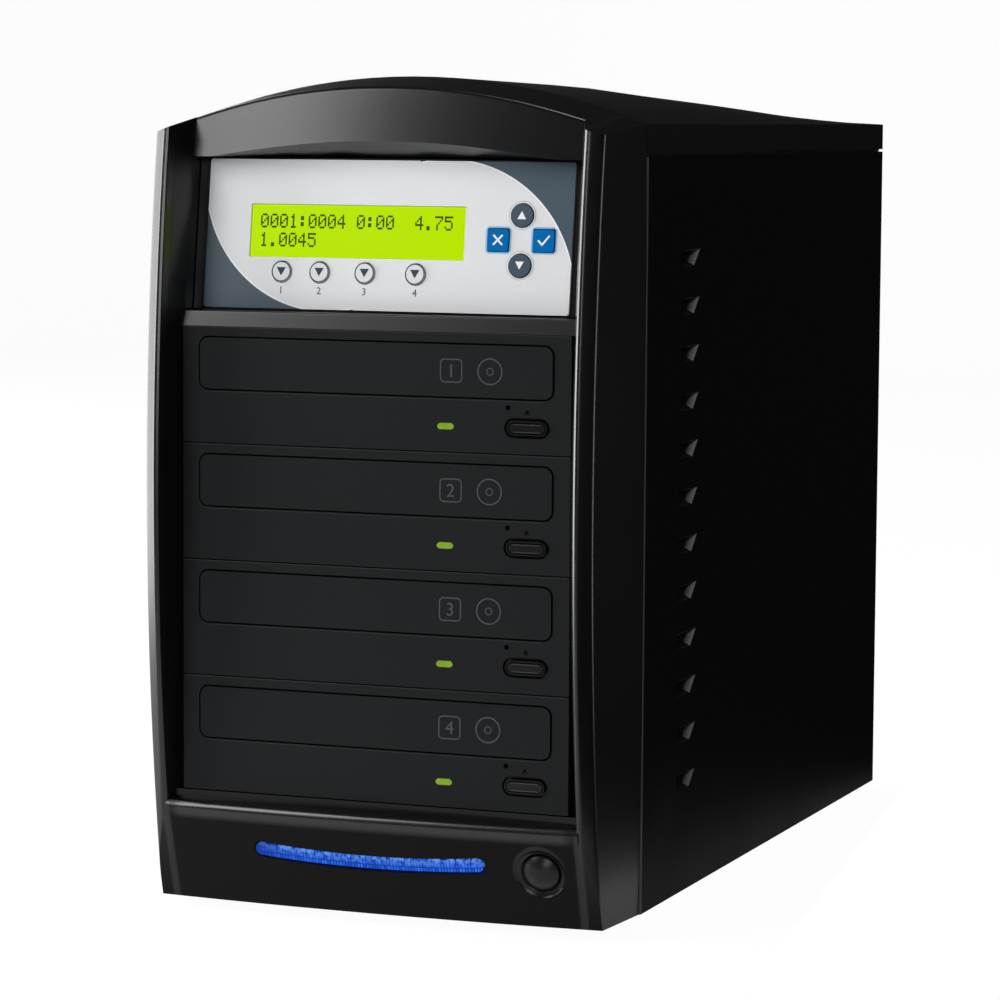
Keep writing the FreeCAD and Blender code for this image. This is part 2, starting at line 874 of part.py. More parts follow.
def drive_face(number):
    """A drive's front plate: tray mouth, eject button hole with a seat behind it, light and pinhole."""
    low = face_bottom(number)
    top = face_top(number)
    thick = drive_face_thickness
    plate = box(-drive_face_width / 2, drive_face_width / 2, 0, thick, low, top)
    tray_z = top - tray_front_drop - tray_front_height / 2
    mouth_width = tray_front_width + 2 * tray_front_gap
    mouth_height = tray_front_height + 2 * tray_front_gap
    mouth_radius = tray_front_radius + tray_front_gap
    mouth = rounded_slab(0, tray_z, mouth_width, mouth_height, mouth_radius, -thick, 2 * thick)
    eject_z = top - eject_drop
    hole = rounded_slab(eject_x, eject_z, eject_width + 2 * eject_rim, eject_height + 2 * eject_rim, far,
                        -thick, 2 * thick)
    seat_x = eject_width / 2 + eject_rim + eject_flange_rim + eject_gap
    seat_z = eject_height / 2 + eject_rim + eject_flange_rim + eject_gap
    seat = box(eject_x - seat_x, eject_x + seat_x, eject_seat, 2 * thick, eject_z - seat_z, eject_z + seat_z)
    light_z = top - light_drop
    light = moved(light_column(0, -thick, 2 * thick), light_x, light_z)
    pinhole = slab_xz(regular(pinhole_sides, pinhole_radius), -thick, 2 * thick)
    pinhole = moved(pinhole, pinhole_x, top - pinhole_drop)
    return plate.cut([mouth, hole, seat, light, pinhole])


def drive_body(number):
    """A steel shell, open in front, with rails for the tray and a small switch block behind the button."""
    low = face_bottom(number) + drive_body_margin
    top = face_top(number) - drive_body_margin
    side = drive_body_width / 2
    front = drive_face_thickness
    back = front + drive_body_length
    shell = box(-side, side, front, back, low, top)
    inner = side - drive_shell
    room = box(-inner, inner, 0, back - drive_shell, low + drive_shell, top - drive_shell)
    shell = shell.cut(room)
    plate_low, plate_high = tray_levels(number)
    edge = tray_width / 2
    rails = []
    for sign in (-1, 1):
        xs = sorted((sign * (edge - rail_hold), sign * (side - drive_shell / 2)))
        under = plate_low - rail_gap
        over = plate_high + rail_gap
        y0 = front + eject_travel
        y1 = back - drive_shell
        rails.append(box(xs[0], xs[1], y0, y1, under - rail_thickness, under))
        rails.append(box(xs[0], xs[1], y0, y1, over, over + rail_thickness))
    switch_y = front + eject_travel + eject_flange + key_play
    switch = box(eject_x - switch_side, eject_x + switch_side, switch_y, switch_y + 2 * switch_side,
                 low + drive_shell / 2, face_top(number) - eject_drop + eject_height / 2)
    return join(shell, switch, *rails)


def disc_tray(number):
    """The tray plate, with a disc recess and a slot over the spindle deck."""
    low, high = tray_levels(number)
    edge = tray_width / 2
    start = tray_front_thickness - tray_front_proud
    plate = box(-edge, edge, start, start + tray_length, low, high)
    disc_r = disc_diameter / 2 + disc_clearance
    centre_y = start + tray_inset + disc_r
    wide = turntable_radius + 2 * disc_clearance
    recess = slab_xy(regular(disc_sides, disc_r), high - disc_recess_depth, high + tray_thickness)
    recess.translate(V(0, centre_y, 0))
    slot = [(-wide, centre_y + slot_reach), (-wide, centre_y), (-wide / 2, centre_y - wide),
            (wide / 2, centre_y - wide), (wide, centre_y), (wide, centre_y + slot_reach)]
    return plate.cut([recess, slab_xy(slot, low - tray_thickness, high)])


def tray_front(number):
    z = face_top(number) - tray_front_drop - tray_front_height / 2
    back = tray_front_thickness - tray_front_proud
    return rounded_slab(0, z, tray_front_width, tray_front_height, tray_front_radius, -tray_front_proud, back)


def eject_button(number):
    """A long cap with round ends on a flange that stays behind the drive face."""
    z = face_top(number) - eject_drop
    seat = eject_seat + key_play
    cap = rounded_slab(eject_x, z, eject_width, eject_height, far, -eject_proud, seat)
    flange_x = eject_width / 2 + eject_rim + eject_flange_rim
    flange_z = eject_height / 2 + eject_rim + eject_flange_rim
    flange = box(eject_x - flange_x, eject_x + flange_x, seat, seat + eject_flange, z - flange_z, z + flange_z)
    return join(cap, flange)


def spindle_deck(number):
    """The deck under the tray: a plate on posts, with a turntable and a lens sled."""
    floor_z = face_bottom(number) + drive_body_margin + drive_shell
    base = floor_z + deck_lift
    start = tray_front_thickness - tray_front_proud
    centre_y = start + tray_inset + disc_diameter / 2 + disc_clearance
    y0 = centre_y - turntable_radius - 2 * deck_post
    y1 = y0 + deck_length
    side = deck_width / 2
    top = base + deck_thickness
    plate = box(-side, side, y0, y1, base, top)
    sled_y = centre_y + slot_reach
    channel = box(-turntable_radius, turntable_radius, centre_y + turntable_radius + deck_thickness,
                  y1 - 2 * deck_post, base - deck_lift, top + deck_lift)
    table = slab_xy(regular(turntable_sides, turntable_radius), top, top + turntable_height)
    table.translate(V(0, centre_y, 0))
    sled_x = turntable_radius + deck_post
    sled_front = sled_y - turntable_radius
    sled = box(-sled_x, sled_x, sled_front, sled_y + turntable_radius, top, top + turntable_height)
    posts = [box(x, x + deck_post, y, y + deck_post, floor_z, base)
             for x in (-side, side - deck_post) for y in (y0, y1 - deck_post)]
    return join(plate.cut(channel), table, sled, *posts)


def drive_lights():
    """One light pipe in each drive face."""
    pipes = []
    for number in range(1, drive_count + 1):
        pipe = light_column(light_gap, 0, drive_face_thickness)
        pipes.append(moved(pipe, light_x, face_top(number) - light_drop))
    return Part.makeCompound(pipes)


# Sheet-metal case

def crown(y):
    """Rise of the top cover's middle above its edges at a depth y."""
    share = (y - seam) / case_depth
    return crown_front + (crown_rear - crown_front) * share ** 2


def dome(start, end, inset, low):
    """A solid under the domed cover, narrowed and lowered by an inset."""
    side = half - inset
    top = case_height - inset
    rims = []
    for step in range(crown_stations + 1):
        y = blend(start, end, step / crown_stations)
        rise = crown(y)
        radius = (side ** 2 + rise ** 2) / (2 * rise)
        arc = []
        for facet in range(crown_facets + 1):
            x = blend(side, -side, facet / crown_facets)
            arc.append(V(x, y, top + rise - radius + math.sqrt(radius ** 2 - x ** 2)))
        rims.append(outline([V(-side, y, low), V(side, y, low)] + arc))
    return Part.makeLoft(rims, True, True)


def top_cover():
    low = case_height - cover_lip
    outer = dome(seam + fit, rear, 0.0, low)
    inner = dome(seam, rear - sheet, sheet, low - cover_lip)
    return outer.cut(inner)


side_top = case_height - cover_lip - cover_groove


def scoop(grow, z):
    """The tapered hollow of one pressed scoop in the right-hand side, or its bump on the inside."""
    mouth_x = half - sheet / 2 if grow else half
    deep_x = half - scoop_depth - grow
    y0 = seam + scoop_setback - grow
    y1 = y0 + scoop_length + 2 * grow
    deep_y = blend(y0, y1, scoop_share)
    tall = scoop_height / 2 + grow
    corners = [(y0, -tall), (y1 - scoop_slant, -tall), (y1, tall), (y0, tall)]
    mouth = [V(mouth_x, y, z + rise) for y, rise in corners]
    back = [V(deep_x, blend(deep_y, y, scoop_taper), z + scoop_taper * rise) for y, rise in corners]
    rims = [mouth, back]
    for index in range(4):
        rims.append([mouth[index - 1], mouth[index], back[index], back[index - 1]])
    solid = Part.Solid(Part.Shell([Part.Face(outline(rim)) for rim in rims]))
    if solid.Volume < 0:
        solid.reverse()
    return solid


def right_side_panel():
    """A steel side with a step behind the cover's lip, a rear flange and a column of pressed scoops."""
    front = seam + fit
    skin = box(half - sheet, half, front, rear, 0, side_top)
    step_x = half - joggle_step - sheet
    shelf = box(step_x, half, front, rear - 3 * sheet, side_top - sheet, side_top)
    stand = box(step_x, step_x + sheet, front, rear - 3 * sheet, side_top - sheet, case_height - sheet - fit)
    flange = box(half - flange_width, half, rear - sheet, rear, 0, side_top)
    heights = [scoop_first + index * scoop_pitch for index in range(scoop_count)]
    body = join(skin, shelf, stand, flange, *[scoop(sheet, z) for z in heights])
    return body.cut([scoop(0.0, z) for z in heights])


def chassis_floor():
    side = half - sheet - slip
    plate = box(-side, side, seam, rear - sheet, 0, sheet)
    flange = box(side - sheet, side, seam + 2 * sheet, rear - 3 * sheet, 0, floor_flange)
    return join(plate, flange, mirrored(flange))


def front_bulkhead():
    """The steel front of the chassis, open for the drive stack and for the panel's leads."""
    side = half - joggle_step - sheet - fit
    plate = box(-side, side, seam, seam + sheet, sheet, case_height - 2 * sheet - fit)
    bay_side = drive_body_width / 2 + bulkhead_rim
    bay = box(-bay_side, bay_side, 0, 2 * seam, stack_bottom - bulkhead_rim, stack_top + bulkhead_rim)
    window_z = (panel_bottom + panel_top) / 2
    window = box(-cable_window_width / 2, cable_window_width / 2, 0, 2 * seam,
                 window_z - cable_window_height / 2, window_z + cable_window_height / 2)
    wire_hole = square_column(power_x - switch_width, chin_height / 2, switch_width / 2, 0, 2 * seam)
    return plate.cut([bay, window, wire_hole])


def drive_cage():
    """Two side walls that carry the drives, joined by a shelf below and a plate above."""
    side = drive_body_width / 2
    y0 = seam + sheet
    y1 = y0 + cage_length
    low = stack_bottom - cage_margin
    high = stack_top + cage_margin
    wall = box(side, side + sheet, y0, y1, sheet, high + sheet)
    shelf = box(-side, side, y0, y1, low - sheet, low)
    lid = box(-side, side, y0, y1, high, high + sheet)
    return join(wall, mirrored(wall), shelf, lid)


supply_top = case_height - supply_drop
supply_middle = supply_top - supply_height / 2
supply_rear = rear - 2 * sheet
inlet_z = supply_middle - inlet_drop
rocker_z = supply_middle + rocker_rise


def grille_slots(x, z, y0, y1):
    """Level slots in front of a fan, each as long as the fan's opening is wide at its height."""
    slots = []
    pitch = grille_slot + grille_rib
    rows = int(2 * fan_ring_radius / pitch)
    for index in range(rows):
        rise = (index - (rows - 1) / 2) * pitch
        low = z + rise - grille_slot / 2
        high = z + rise + grille_slot / 2
        reach = math.sqrt(fan_ring_radius ** 2 - (abs(rise) + grille_slot / 2) ** 2)
        inner = grille_hub if abs(rise) < grille_hub else grille_spoke / 2
        slots.append(box(x + inner, x + reach, y0, y1, low, high))
        slots.append(box(x - reach, x - inner, y0, y1, low, high))
    return slots


def flange_screw_places():
    x = half - flange_width / 2
    rows = (2 * floor_flange, side_top / 2, side_top - 2 * floor_flange)
    return [(sx * x, z) for sx in (-1, 1) for z in rows]


def rear_panel():
    """The rear wall, with a window for the power supply and a slotted grille for the fan."""
    side = half - sheet - slip
    plate = box(-side, side, rear - 2 * sheet, rear - sheet, sheet, case_height - 2 * sheet - fit)
    margin = supply_window_margin
    window = box(-supply_width / 2 + margin, supply_width / 2 - margin, 0, 2 * rear,
                 supply_top - supply_height + margin, supply_top - margin)
    return plate.cut([window] + grille_slots(0, fan_z, 0, 2 * rear))


def supply_case():
    """The power supply's steel box: grille, shaft stub and rocker well are part of its rear wall."""
    side = supply_width / 2
    low = supply_top - supply_height
    start = supply_rear - supply_length
    shell = box(-side, side, start, supply_rear, low, supply_top)
    room = box(sheet - side, side - sheet, start + sheet, supply_rear - sheet, low + sheet, supply_top - sheet)
    shell = shell.cut(room)
    shell = shell.cut(grille_slots(supply_fan_x, supply_middle, supply_rear - 2 * sheet, 2 * rear))
    stub_end = supply_rear - sheet - fan_hub_play - fan_hub_depth + fan_hub_wall + fan_hub_play
    stub = rod_y(supply_fan_x, supply_middle, fan_shaft_radius, stub_end, supply_rear - sheet / 2)
    well_x = rocker_width / 2 + rocker_gap
    well_z = rocker_height / 2 + rocker_swing_room
    rim_x = well_x + rocker_wall
    rim_z = well_z + rocker_wall
    well = box(inlet_x - rim_x, inlet_x + rim_x, supply_rear - rocker_depth, supply_rear - sheet / 2,
               rocker_z - rim_z, rocker_z + rim_z)
    shell = join(shell, stub, well)
    well_room = box(inlet_x - well_x, inlet_x + well_x, supply_rear - rocker_depth + rocker_wall, 2 * rear,
                    rocker_z - well_z, rocker_z + well_z)
    axle = Part.makeCylinder(rocker_axle_radius + rocker_axle_gap, 4 * rim_x,
                             V(inlet_x - 2 * rim_x, supply_rear - rocker_axis_depth, rocker_z), V(1, 0, 0))
    return shell.cut([well_room, axle, inlet_block(slip / 2, supply_rear - 2 * sheet, 2 * rear)])


def inlet_block(grow, y0, y1):
    """The inlet's outline, a rectangle with its two upper corners cut, grown and extruded from y0 to y1."""
    w = inlet_width / 2 + grow
    h = inlet_height / 2 + grow
    cut = inlet_corner
    points = [(-w, -h), (w, -h), (w, h - cut), (w - cut, h), (cut - w, h), (-w, h - cut)]
    return slab_xz([(inlet_x + x, inlet_z + z) for x, z in points], y0, y1)


def mains_inlet():
    """A three-pin inlet: a flange outside the wall, a deep cup and recessed pins."""
    back = supply_rear - inlet_depth
    lip = inlet_block(inlet_flange, supply_rear, supply_rear + inlet_flange_depth)
    cup = inlet_block(0.0, back, supply_rear)
    body = join(lip, cup).cut(inlet_block(-inlet_wall, back + inlet_wall, 2 * rear))
    pins = []
    for side in (-1, 0, 1):
        place = side * inlet_pin_spread
        rise = inlet_pin_rise * (1 - 2 * abs(side))
        x0 = inlet_x + place - inlet_pin_thickness / 2
        z0 = inlet_z + rise - inlet_pin_width / 2
        pins.append(box(x0, x0 + inlet_pin_thickness, back + inlet_wall / 2,
                        supply_rear + inlet_flange_depth - inlet_recess, z0, z0 + inlet_pin_width))
    return join(body, *pins)


def supply_rocker():
    """A rocker on two stub axles, at rest with its upper end pressed."""
    side = rocker_width / 2
    end = rocker_height / 2
    crest = rocker_axis_depth + rocker_axle_radius
    valley = rocker_axis_depth - rocker_axle_radius
    depth = rocker_axle_radius + rocker_wall
    root = rocker_back_share * end
    profile = [(crest, -end), (valley, 0), (crest, end), (-depth, root), (-depth, -root)]
    body = slab_yz(profile, -side, side)
    reach = side + rocker_gap + rocker_wall
    axle = Part.makeCylinder(rocker_axle_radius, 2 * reach, V(-reach, 0, 0), V(1, 0, 0))
    rocker = tilted(join(body, axle), rocker_tilt, supply_rear - rocker_axis_depth, rocker_z)
    rocker.translate(V(inlet_x, 0, 0))
    return rocker


# Fans

def fan_rotor():
    """A hub with flat pitched blades, its shaft hole along Y and open towards +Y."""
    tip = math.sqrt((fan_ring_radius - fan_tip_gap) ** 2 - (fan_blade_chord / 2) ** 2)
    hub = slab_xz(regular(round_sides, fan_hub_radius), 0, fan_hub_depth)
    bore = rod_y(0, 0, fan_shaft_radius + fan_shaft_gap, fan_hub_wall, 2 * fan_hub_depth)
    blade = box(fan_hub_radius - fan_hub_wall, tip, -fan_blade_chord / 2, fan_blade_chord / 2,
                -fan_blade_thickness / 2, fan_blade_thickness / 2)
    blade.rotate(V(0, 0, 0), V(1, 0, 0), fan_blade_pitch)
    blade.translate(V(0, fan_hub_depth / 2, 0))
    blades = []
    for index in range(fan_blades):
        turned = blade.copy()
        turned.rotate(V(0, 0, 0), V(0, 1, 0), index * 360 / fan_blades)
        blades.append(turned)
    return join(hub, *blades).cut(bore)


def placed_rotor(x, z, back):
    """A rotor whose open end lies that far from the rear, running on a shaft from the rear wall."""
    rotor = fan_rotor()
    rotor.translate(V(x, back - fan_hub_play - fan_hub_depth, z))
    return rotor


def fan_frame():
    """A square frame with a round duct, struts at its rear and a shaft stub on the motor plate."""
    back = rear - 2 * sheet
    front = back - fan_depth
    wide = fan_side / 2
    frame = box(-wide, wide, front, back, fan_z - wide, fan_z + wide)
    duct = slab_xz(regular(2 * round_sides, fan_ring_radius), 0, 2 * rear)
    frame = frame.cut(moved(duct, 0, fan_z))
    plate_front = back - fan_plate_thickness
    low = fan_z - fan_hub_radius
    plate = box(-fan_hub_radius, fan_hub_radius, plate_front, back, low, fan_z + fan_hub_radius)
    reach = fan_ring_radius + fan_hub_wall
    level = box(-reach, reach, plate_front, back, fan_z - fan_strut_width / 2, fan_z + fan_strut_width / 2)
    upright = box(-fan_strut_width / 2, fan_strut_width / 2, plate_front, back, fan_z - reach, fan_z + reach)
    stub_end = plate_front - fan_hub_depth + fan_hub_wall
    stub = rod_y(0, fan_z, fan_shaft_radius, stub_end, plate_front + fan_plate_thickness / 2)
    return join(frame, plate, stub, level, upright)


# Controller board, feet and screws

def controller_place():
    return seam + sheet + cage_length + controller_gap, rear - controller_rear_gap


def controller_board():
    y0, y1 = controller_place()
    side = controller_width / 2
    z = sheet + standoff_height
    board = box(-side, side, y0, y1, z, z + board_thickness)
    top = z + board_thickness
    middle = (y0 + y1) / 2
    chip = controller_width / 7
    chips = [box(x - chip, x + chip, middle - chip, middle + chip, top, top + chip_height)
             for x in (-controller_width / 4, controller_width / 4)]
    sockets = []
    pitch = controller_width / (drive_count + 2)
    for number in range(drive_count):
        x = (number - (drive_count - 1) / 2) * pitch
        wide = pitch / 3
        sockets.append(box(x - wide, x + wide, y0 + pitch / 4, y0 + pitch / 2, top, top + socket_height))
    return join(board, *chips, *sockets)


def board_standoffs():
    y0, y1 = controller_place()
    side = controller_width / 2 - standoff_inset
    posts = []
    for x in (-side, side):
        for y in (y0 + standoff_inset, y1 - standoff_inset):
            post = slab_xy(regular(hex_sides, standoff_radius), sheet, sheet + standoff_height)
            post.translate(V(x, y, 0))
            posts.append(post)
    return Part.makeCompound(posts)


def foot_places():
    return [(x, y) for x in (-foot_x, foot_x) for y in (seam + foot_inset, rear - foot_inset)]


def rubber_feet():
    pad = slab_xy(regular(round_sides, foot_radius), -foot_height, 0)
    pads = []
    for x, y in foot_places():
        placed = pad.copy()
        placed.translate(V(x, y, 0))
        pads.append(placed)
    return Part.makeCompound(pads)


def case_screws():
    """The six-sided screw heads on the rear flanges of the two sides."""
    head = slab_xz(regular(hex_sides, screw_head_radius), rear, rear + screw_head_height)
    return Part.makeCompound([moved(head, x, z) for x, z in flange_screw_places()])


# The finished pieces

def pieces():
    right_side = right_side_panel()
    made = {
        "front_bezel": front_bezel(),
        "top_cover": top_cover(),
        "right_side_panel": right_side,
        "left_side_panel": mirrored(right_side),
        "chassis_floor": chassis_floor(),
        "front_bulkhead": front_bulkhead(),
        "rear_panel": rear_panel(),
        "drive_cage": drive_cage(),
        "rubber_feet": rubber_feet(),
        "case_screws": case_screws(),
        "panel_frame": panel_frame(),
        "panel_overlay": panel_overlay(),
        "display_module": display_module(),
        "panel_board": panel_board(),
        "light_bar": light_bar(),
        "light_board": light_board(),
        "power_button": power_button(),
        "power_switch": power_switch(),
        "supply_case": supply_case(),
        "supply_fan_rotor": placed_rotor(supply_fan_x, supply_middle, supply_rear - sheet),
        "mains_inlet": mains_inlet(),
        "supply_rocker": supply_rocker(),
        "exhaust_fan_frame": fan_frame(),
        "exhaust_fan_rotor": placed_rotor(0, fan_z, rear - 2 * sheet - fan_plate_thickness),
        "controller_board": controller_board(),
        "board_standoffs": board_standoffs(),
        "drive_lights": drive_lights(),
    }
    for name, side, radius, x, z in key_places():
        made[name] = panel_key(side, radius, x, z)
    for number in range(1, drive_count + 1):
        made["drive_%d_body" % number] = drive_body(number)
        made["drive_%d_face" % number] = drive_face(number)
        made["drive_%d_tray" % number] = disc_tray(number)
        made["drive_%d_tray_front" % number] = tray_front(number)
        made["drive_%d_eject_button" % number] = eject_button(number)
        made["drive_%d_deck" % number] = spindle_deck(number)
    return made


def main():
    os.makedirs("parts", exist_ok=True)
    made = pieces()
    front = made["front_bezel"].optimalBoundingBox().YMin
    back = made["case_screws"].optimalBoundingBox().YMax
    shift = V(0, -(front + back) / 2, foot_height)
    print("drive faces at y = %.3f" % shift.y)
    for name, shape in made.items():
        shape.translate(shift)
        shape.exportStep("parts/%s.step" % name)
        print("%-24s solids %2d  volume %9.1f" % (name, len(shape.Solids), shape.Volume))


main()
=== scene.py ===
# %% [markdown]
# A disc duplicator is a small tower: a bowed plastic front, four disc drives one above
# the other, a slanted panel with a lit display, and a painted sheet-metal case behind.
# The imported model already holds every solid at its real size. This lesson gives those
# solids their finishes, adds the printed and engraved detail, and lights them.

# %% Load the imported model
import bmesh
import bpy
import json
import math
from mathutils import Matrix, Vector


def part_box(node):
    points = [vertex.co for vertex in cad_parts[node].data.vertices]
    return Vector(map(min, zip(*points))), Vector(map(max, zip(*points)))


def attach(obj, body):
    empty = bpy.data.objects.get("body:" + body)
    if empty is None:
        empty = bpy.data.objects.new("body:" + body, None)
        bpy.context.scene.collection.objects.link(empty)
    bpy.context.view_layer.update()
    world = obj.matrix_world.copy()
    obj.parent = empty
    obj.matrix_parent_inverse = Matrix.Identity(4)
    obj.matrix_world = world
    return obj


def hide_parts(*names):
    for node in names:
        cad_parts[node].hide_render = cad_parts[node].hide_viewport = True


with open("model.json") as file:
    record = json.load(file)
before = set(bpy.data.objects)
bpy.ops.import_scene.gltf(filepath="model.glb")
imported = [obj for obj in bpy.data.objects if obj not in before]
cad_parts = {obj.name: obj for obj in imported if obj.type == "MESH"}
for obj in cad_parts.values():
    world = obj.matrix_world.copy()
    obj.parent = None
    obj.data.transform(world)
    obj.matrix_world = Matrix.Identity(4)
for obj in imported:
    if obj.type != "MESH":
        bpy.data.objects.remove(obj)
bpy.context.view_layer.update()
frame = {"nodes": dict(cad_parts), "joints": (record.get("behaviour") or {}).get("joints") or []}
nodes = frame["nodes"]
mm = 0.001

# %% [markdown]
# The camera comes first, because every later choice is judged through it. A long lens
# far away keeps the upright edges almost parallel, as in a catalogue picture. The view
# is a little to the right of the front and a little above it.

# %% Camera
camera_place = Vector((0.52976, -1.42130, 0.28734))
camera_yaw, camera_pitch, camera_roll = (math.radians(angle) for angle in (21.02, 5.65, 0.36))


def look_axes(yaw, pitch, roll):
    back = Vector((math.sin(yaw) * math.cos(pitch), -math.cos(yaw) * math.cos(pitch), math.sin(pitch)))
    right = (-back).cross(Vector((0, 0, 1))).normalized()
    up = right.cross(-back)
    across = right * math.cos(roll) + up * math.sin(roll)
    rise = up * math.cos(roll) - right * math.sin(roll)
    return Matrix((across, rise, back)).transposed()


catalogue_camera = bpy.data.objects.new("catalogue_camera", bpy.data.cameras.new("catalogue_camera"))
catalogue_camera.data.lens = 139.7
catalogue_camera.data.sensor_width = 36.0
catalogue_camera.matrix_world = (Matrix.Translation(camera_place)
                                 @ look_axes(camera_yaw, camera_pitch, camera_roll).to_4x4())
bpy.context.scene.collection.objects.link(catalogue_camera)
bpy.context.scene.camera = catalogue_camera
bpy.context.scene.view_settings.view_transform = "Standard"
print("camera at", tuple(camera_place))

# %% [markdown]
# Materials are graphs of nodes, and the same few nodes turn up again and again: a sum, a
# ramp from one value to another, a blend of two colours, the place of a point on the
# object, a texture. Each gets a short function that adds the node and hands it on, so that
# a material reads almost like a formula.

# %% Helpers for node graphs


def feed(tree, socket, value):
    if isinstance(value, bpy.types.NodeSocket):
        tree.links.new(value, socket)
    else:
        socket.default_value = (*value, 1) if isinstance(value, tuple) else value


def math_node(tree, operation, first, second=0.0):
    node = tree.nodes.new("ShaderNodeMath")
    node.operation = operation
    feed(tree, node.inputs[0], first)
    feed(tree, node.inputs[1], second)
    return node.outputs[0]


def ramp(tree, value, start, end, low=0.0, high=1.0):
    node = tree.nodes.new("ShaderNodeMapRange")
    given = {"Value": value, "From Min": start, "From Max": end, "To Min": low, "To Max": high}
    for label, part in given.items():
        feed(tree, node.inputs[label], part)
    return node.outputs["Result"]


def blend_colour(tree, share, under, over):
    node = tree.nodes.new("ShaderNodeMix")
    node.data_type = "RGBA"
    for place, value in ((0, share), (6, under), (7, over)):
        feed(tree, node.inputs[place], value)
    return node.outputs[2]


def object_point(tree):
    return tree.nodes.new("ShaderNodeTexCoord").outputs["Object"]


def object_place(tree):
    split = tree.nodes.new("ShaderNodeSeparateXYZ")
    tree.links.new(object_point(tree), split.inputs[0])
    return split.outputs["X"], split.outputs["Y"], split.outputs["Z"]


def texture(tree, kind, point, values):
    node = tree.nodes.new(f"ShaderNodeTex{kind}")
    tree.links.new(point, node.inputs["Vector"])
    for label, value in values.items():
        feed(tree, node.inputs[label], value)
    return node


def distance(tree, x, y, middle_x, middle_y):
    dx = math_node(tree, "SUBTRACT", x, middle_x)
    dy = math_node(tree, "SUBTRACT", y, middle_y)
    squares = math_node(tree, "ADD", math_node(tree, "MULTIPLY", dx, dx), math_node(tree, "MULTIPLY", dy, dy))
    return math_node(tree, "SQRT", squares)


print("node helpers", [helper.__name__ for helper in (math_node, ramp, blend_colour, object_place, texture)])

# %% [markdown]
# Black plastic is drawn by what it mirrors. Two tall soft lamps close on the left give the
# grey band down the left pillar and the bright line along the right ridge. One in front
# on the left is mirrored by the brow, and one overhead by the crest and the chin's lip. A
# weak lamp in front lifts the panel to its own colours, and one behind lights the rear. The
# right side is left dark, with two weak lamps that only draw its edges and the hollows
# pressed into it. The world is white where the camera looks at it, straight or through
# something clear, and nearly dark as a light and in reflections, because black plastic
# that mirrors white looks grey.

# %% Lamps and world


def seen_rays(tree, *others):
    path = tree.nodes.new("ShaderNodeLightPath")
    seen = path.outputs["Is Camera Ray"]
    for ray in others:
        seen = math_node(tree, "MAXIMUM", seen, path.outputs[ray])
    return seen


def mix_shaders(tree, share, under, over, surface):
    mix = tree.nodes.new("ShaderNodeMixShader")
    for socket, value in zip(mix.inputs, (share, under.outputs[0], over.outputs[0])):
        tree.links.new(value, socket)
    tree.links.new(mix.outputs[0], surface)


def soft_lamp(name, place, aim, width, height, watts):
    data = bpy.data.lights.new(name, "AREA")
    data.shape = "RECTANGLE"
    data.size = width
    data.size_y = height
    data.energy = watts
    lamp = bpy.data.objects.new(name, data)
    toward = (Vector(aim) - Vector(place)).normalized()
    turn = toward.to_track_quat("-Z", "Y").to_matrix().to_4x4()
    lamp.matrix_world = Matrix.Translation(Vector(place)) @ turn
    bpy.context.scene.collection.objects.link(lamp)


body_middle = Vector((0, 0, 0.15))
soft_lamp("left_softbox", (-0.75, 0.08, 0.31), (0, 0.08, 0.31), 0.55, 0.62, 5.1)
soft_lamp("ridge_strip", (-0.75, -0.33, 0.31), (0, -0.33, 0.31), 0.24, 0.62, 6)
soft_lamp("brow_softbox", (-0.70, -0.95, 0.88), (0, -0.17, 0.25), 0.41, 0.75, 9.2)
soft_lamp("front_fill", (0.83, -2.06, 0.62), body_middle, 0.8, 0.8, 13)
soft_lamp("crest_lamp", (0.1, 0.2, 1.9), (0, 0, 0.3), 0.5, 0.5, 6)
soft_lamp("right_strip", (1.48, 0.45, 0.3), (0, 0.1, 0.2), 0.3, 1.0, 6)
soft_lamp("hollow_lamp", (1.25, 0.35, 1.45), (0.09, -0.08, 0.15), 0.5, 0.5, 2.4)
soft_lamp("rear_fill", (-1.9, 1.4, 1.2), body_middle, 1.2, 1.2, 30)


def dim_world(strength):
    world = bpy.data.worlds.new("studio_world")
    world.use_nodes = True
    tree = world.node_tree
    dim = tree.nodes["Background"]
    dim.inputs["Color"].default_value = (0.93, 0.96, 1.0, 1)
    dim.inputs["Strength"].default_value = strength
    white = tree.nodes.new("ShaderNodeBackground")
    white.inputs["Color"].default_value = (1, 1, 1, 1)
    seen = seen_rays(tree, "Is Transmission Ray")
    mix_shaders(tree, seen, dim, white, tree.nodes["World Output"].inputs["Surface"])
    return world


bpy.context.scene.world = dim_world(0.012)

# %% [markdown]
# The tower stands on a white sweep: a floor that turns up into a wall far behind. The
# sweep ends just to the right of the tower, so that the right side of the case has
# nothing bright to mirror. Seen directly or in a reflection it shows mostly its own
# white, and the rest of its colour comes from the lamps, which keeps the soft shadow.

# %% White sweep


def sweep_mesh(name, left, right_near, right_far, front, back, height, turn, steps=12):
    def right_edge(y):
        return right_near + (right_far - right_near) * (y - front) / (back - front)

    profile = [(front, 0.0), (back - turn, 0.0)]
    for step in range(1, steps + 1):
        angle = step / steps * math.pi / 2
        profile.append((back - turn + turn * math.sin(angle), turn - turn * math.cos(angle)))
    profile.append((back, height))
    mesh = bpy.data.meshes.new(name)
    verts = [(x, y, z) for y, z in profile for x in (left, right_edge(y))]
    faces = [(2 * i, 2 * i + 1, 2 * i + 3, 2 * i + 2) for i in range(len(profile) - 1)]
    mesh.from_pydata(verts, [], faces)
    for polygon in mesh.polygons:
        polygon.use_smooth = True
    return mesh


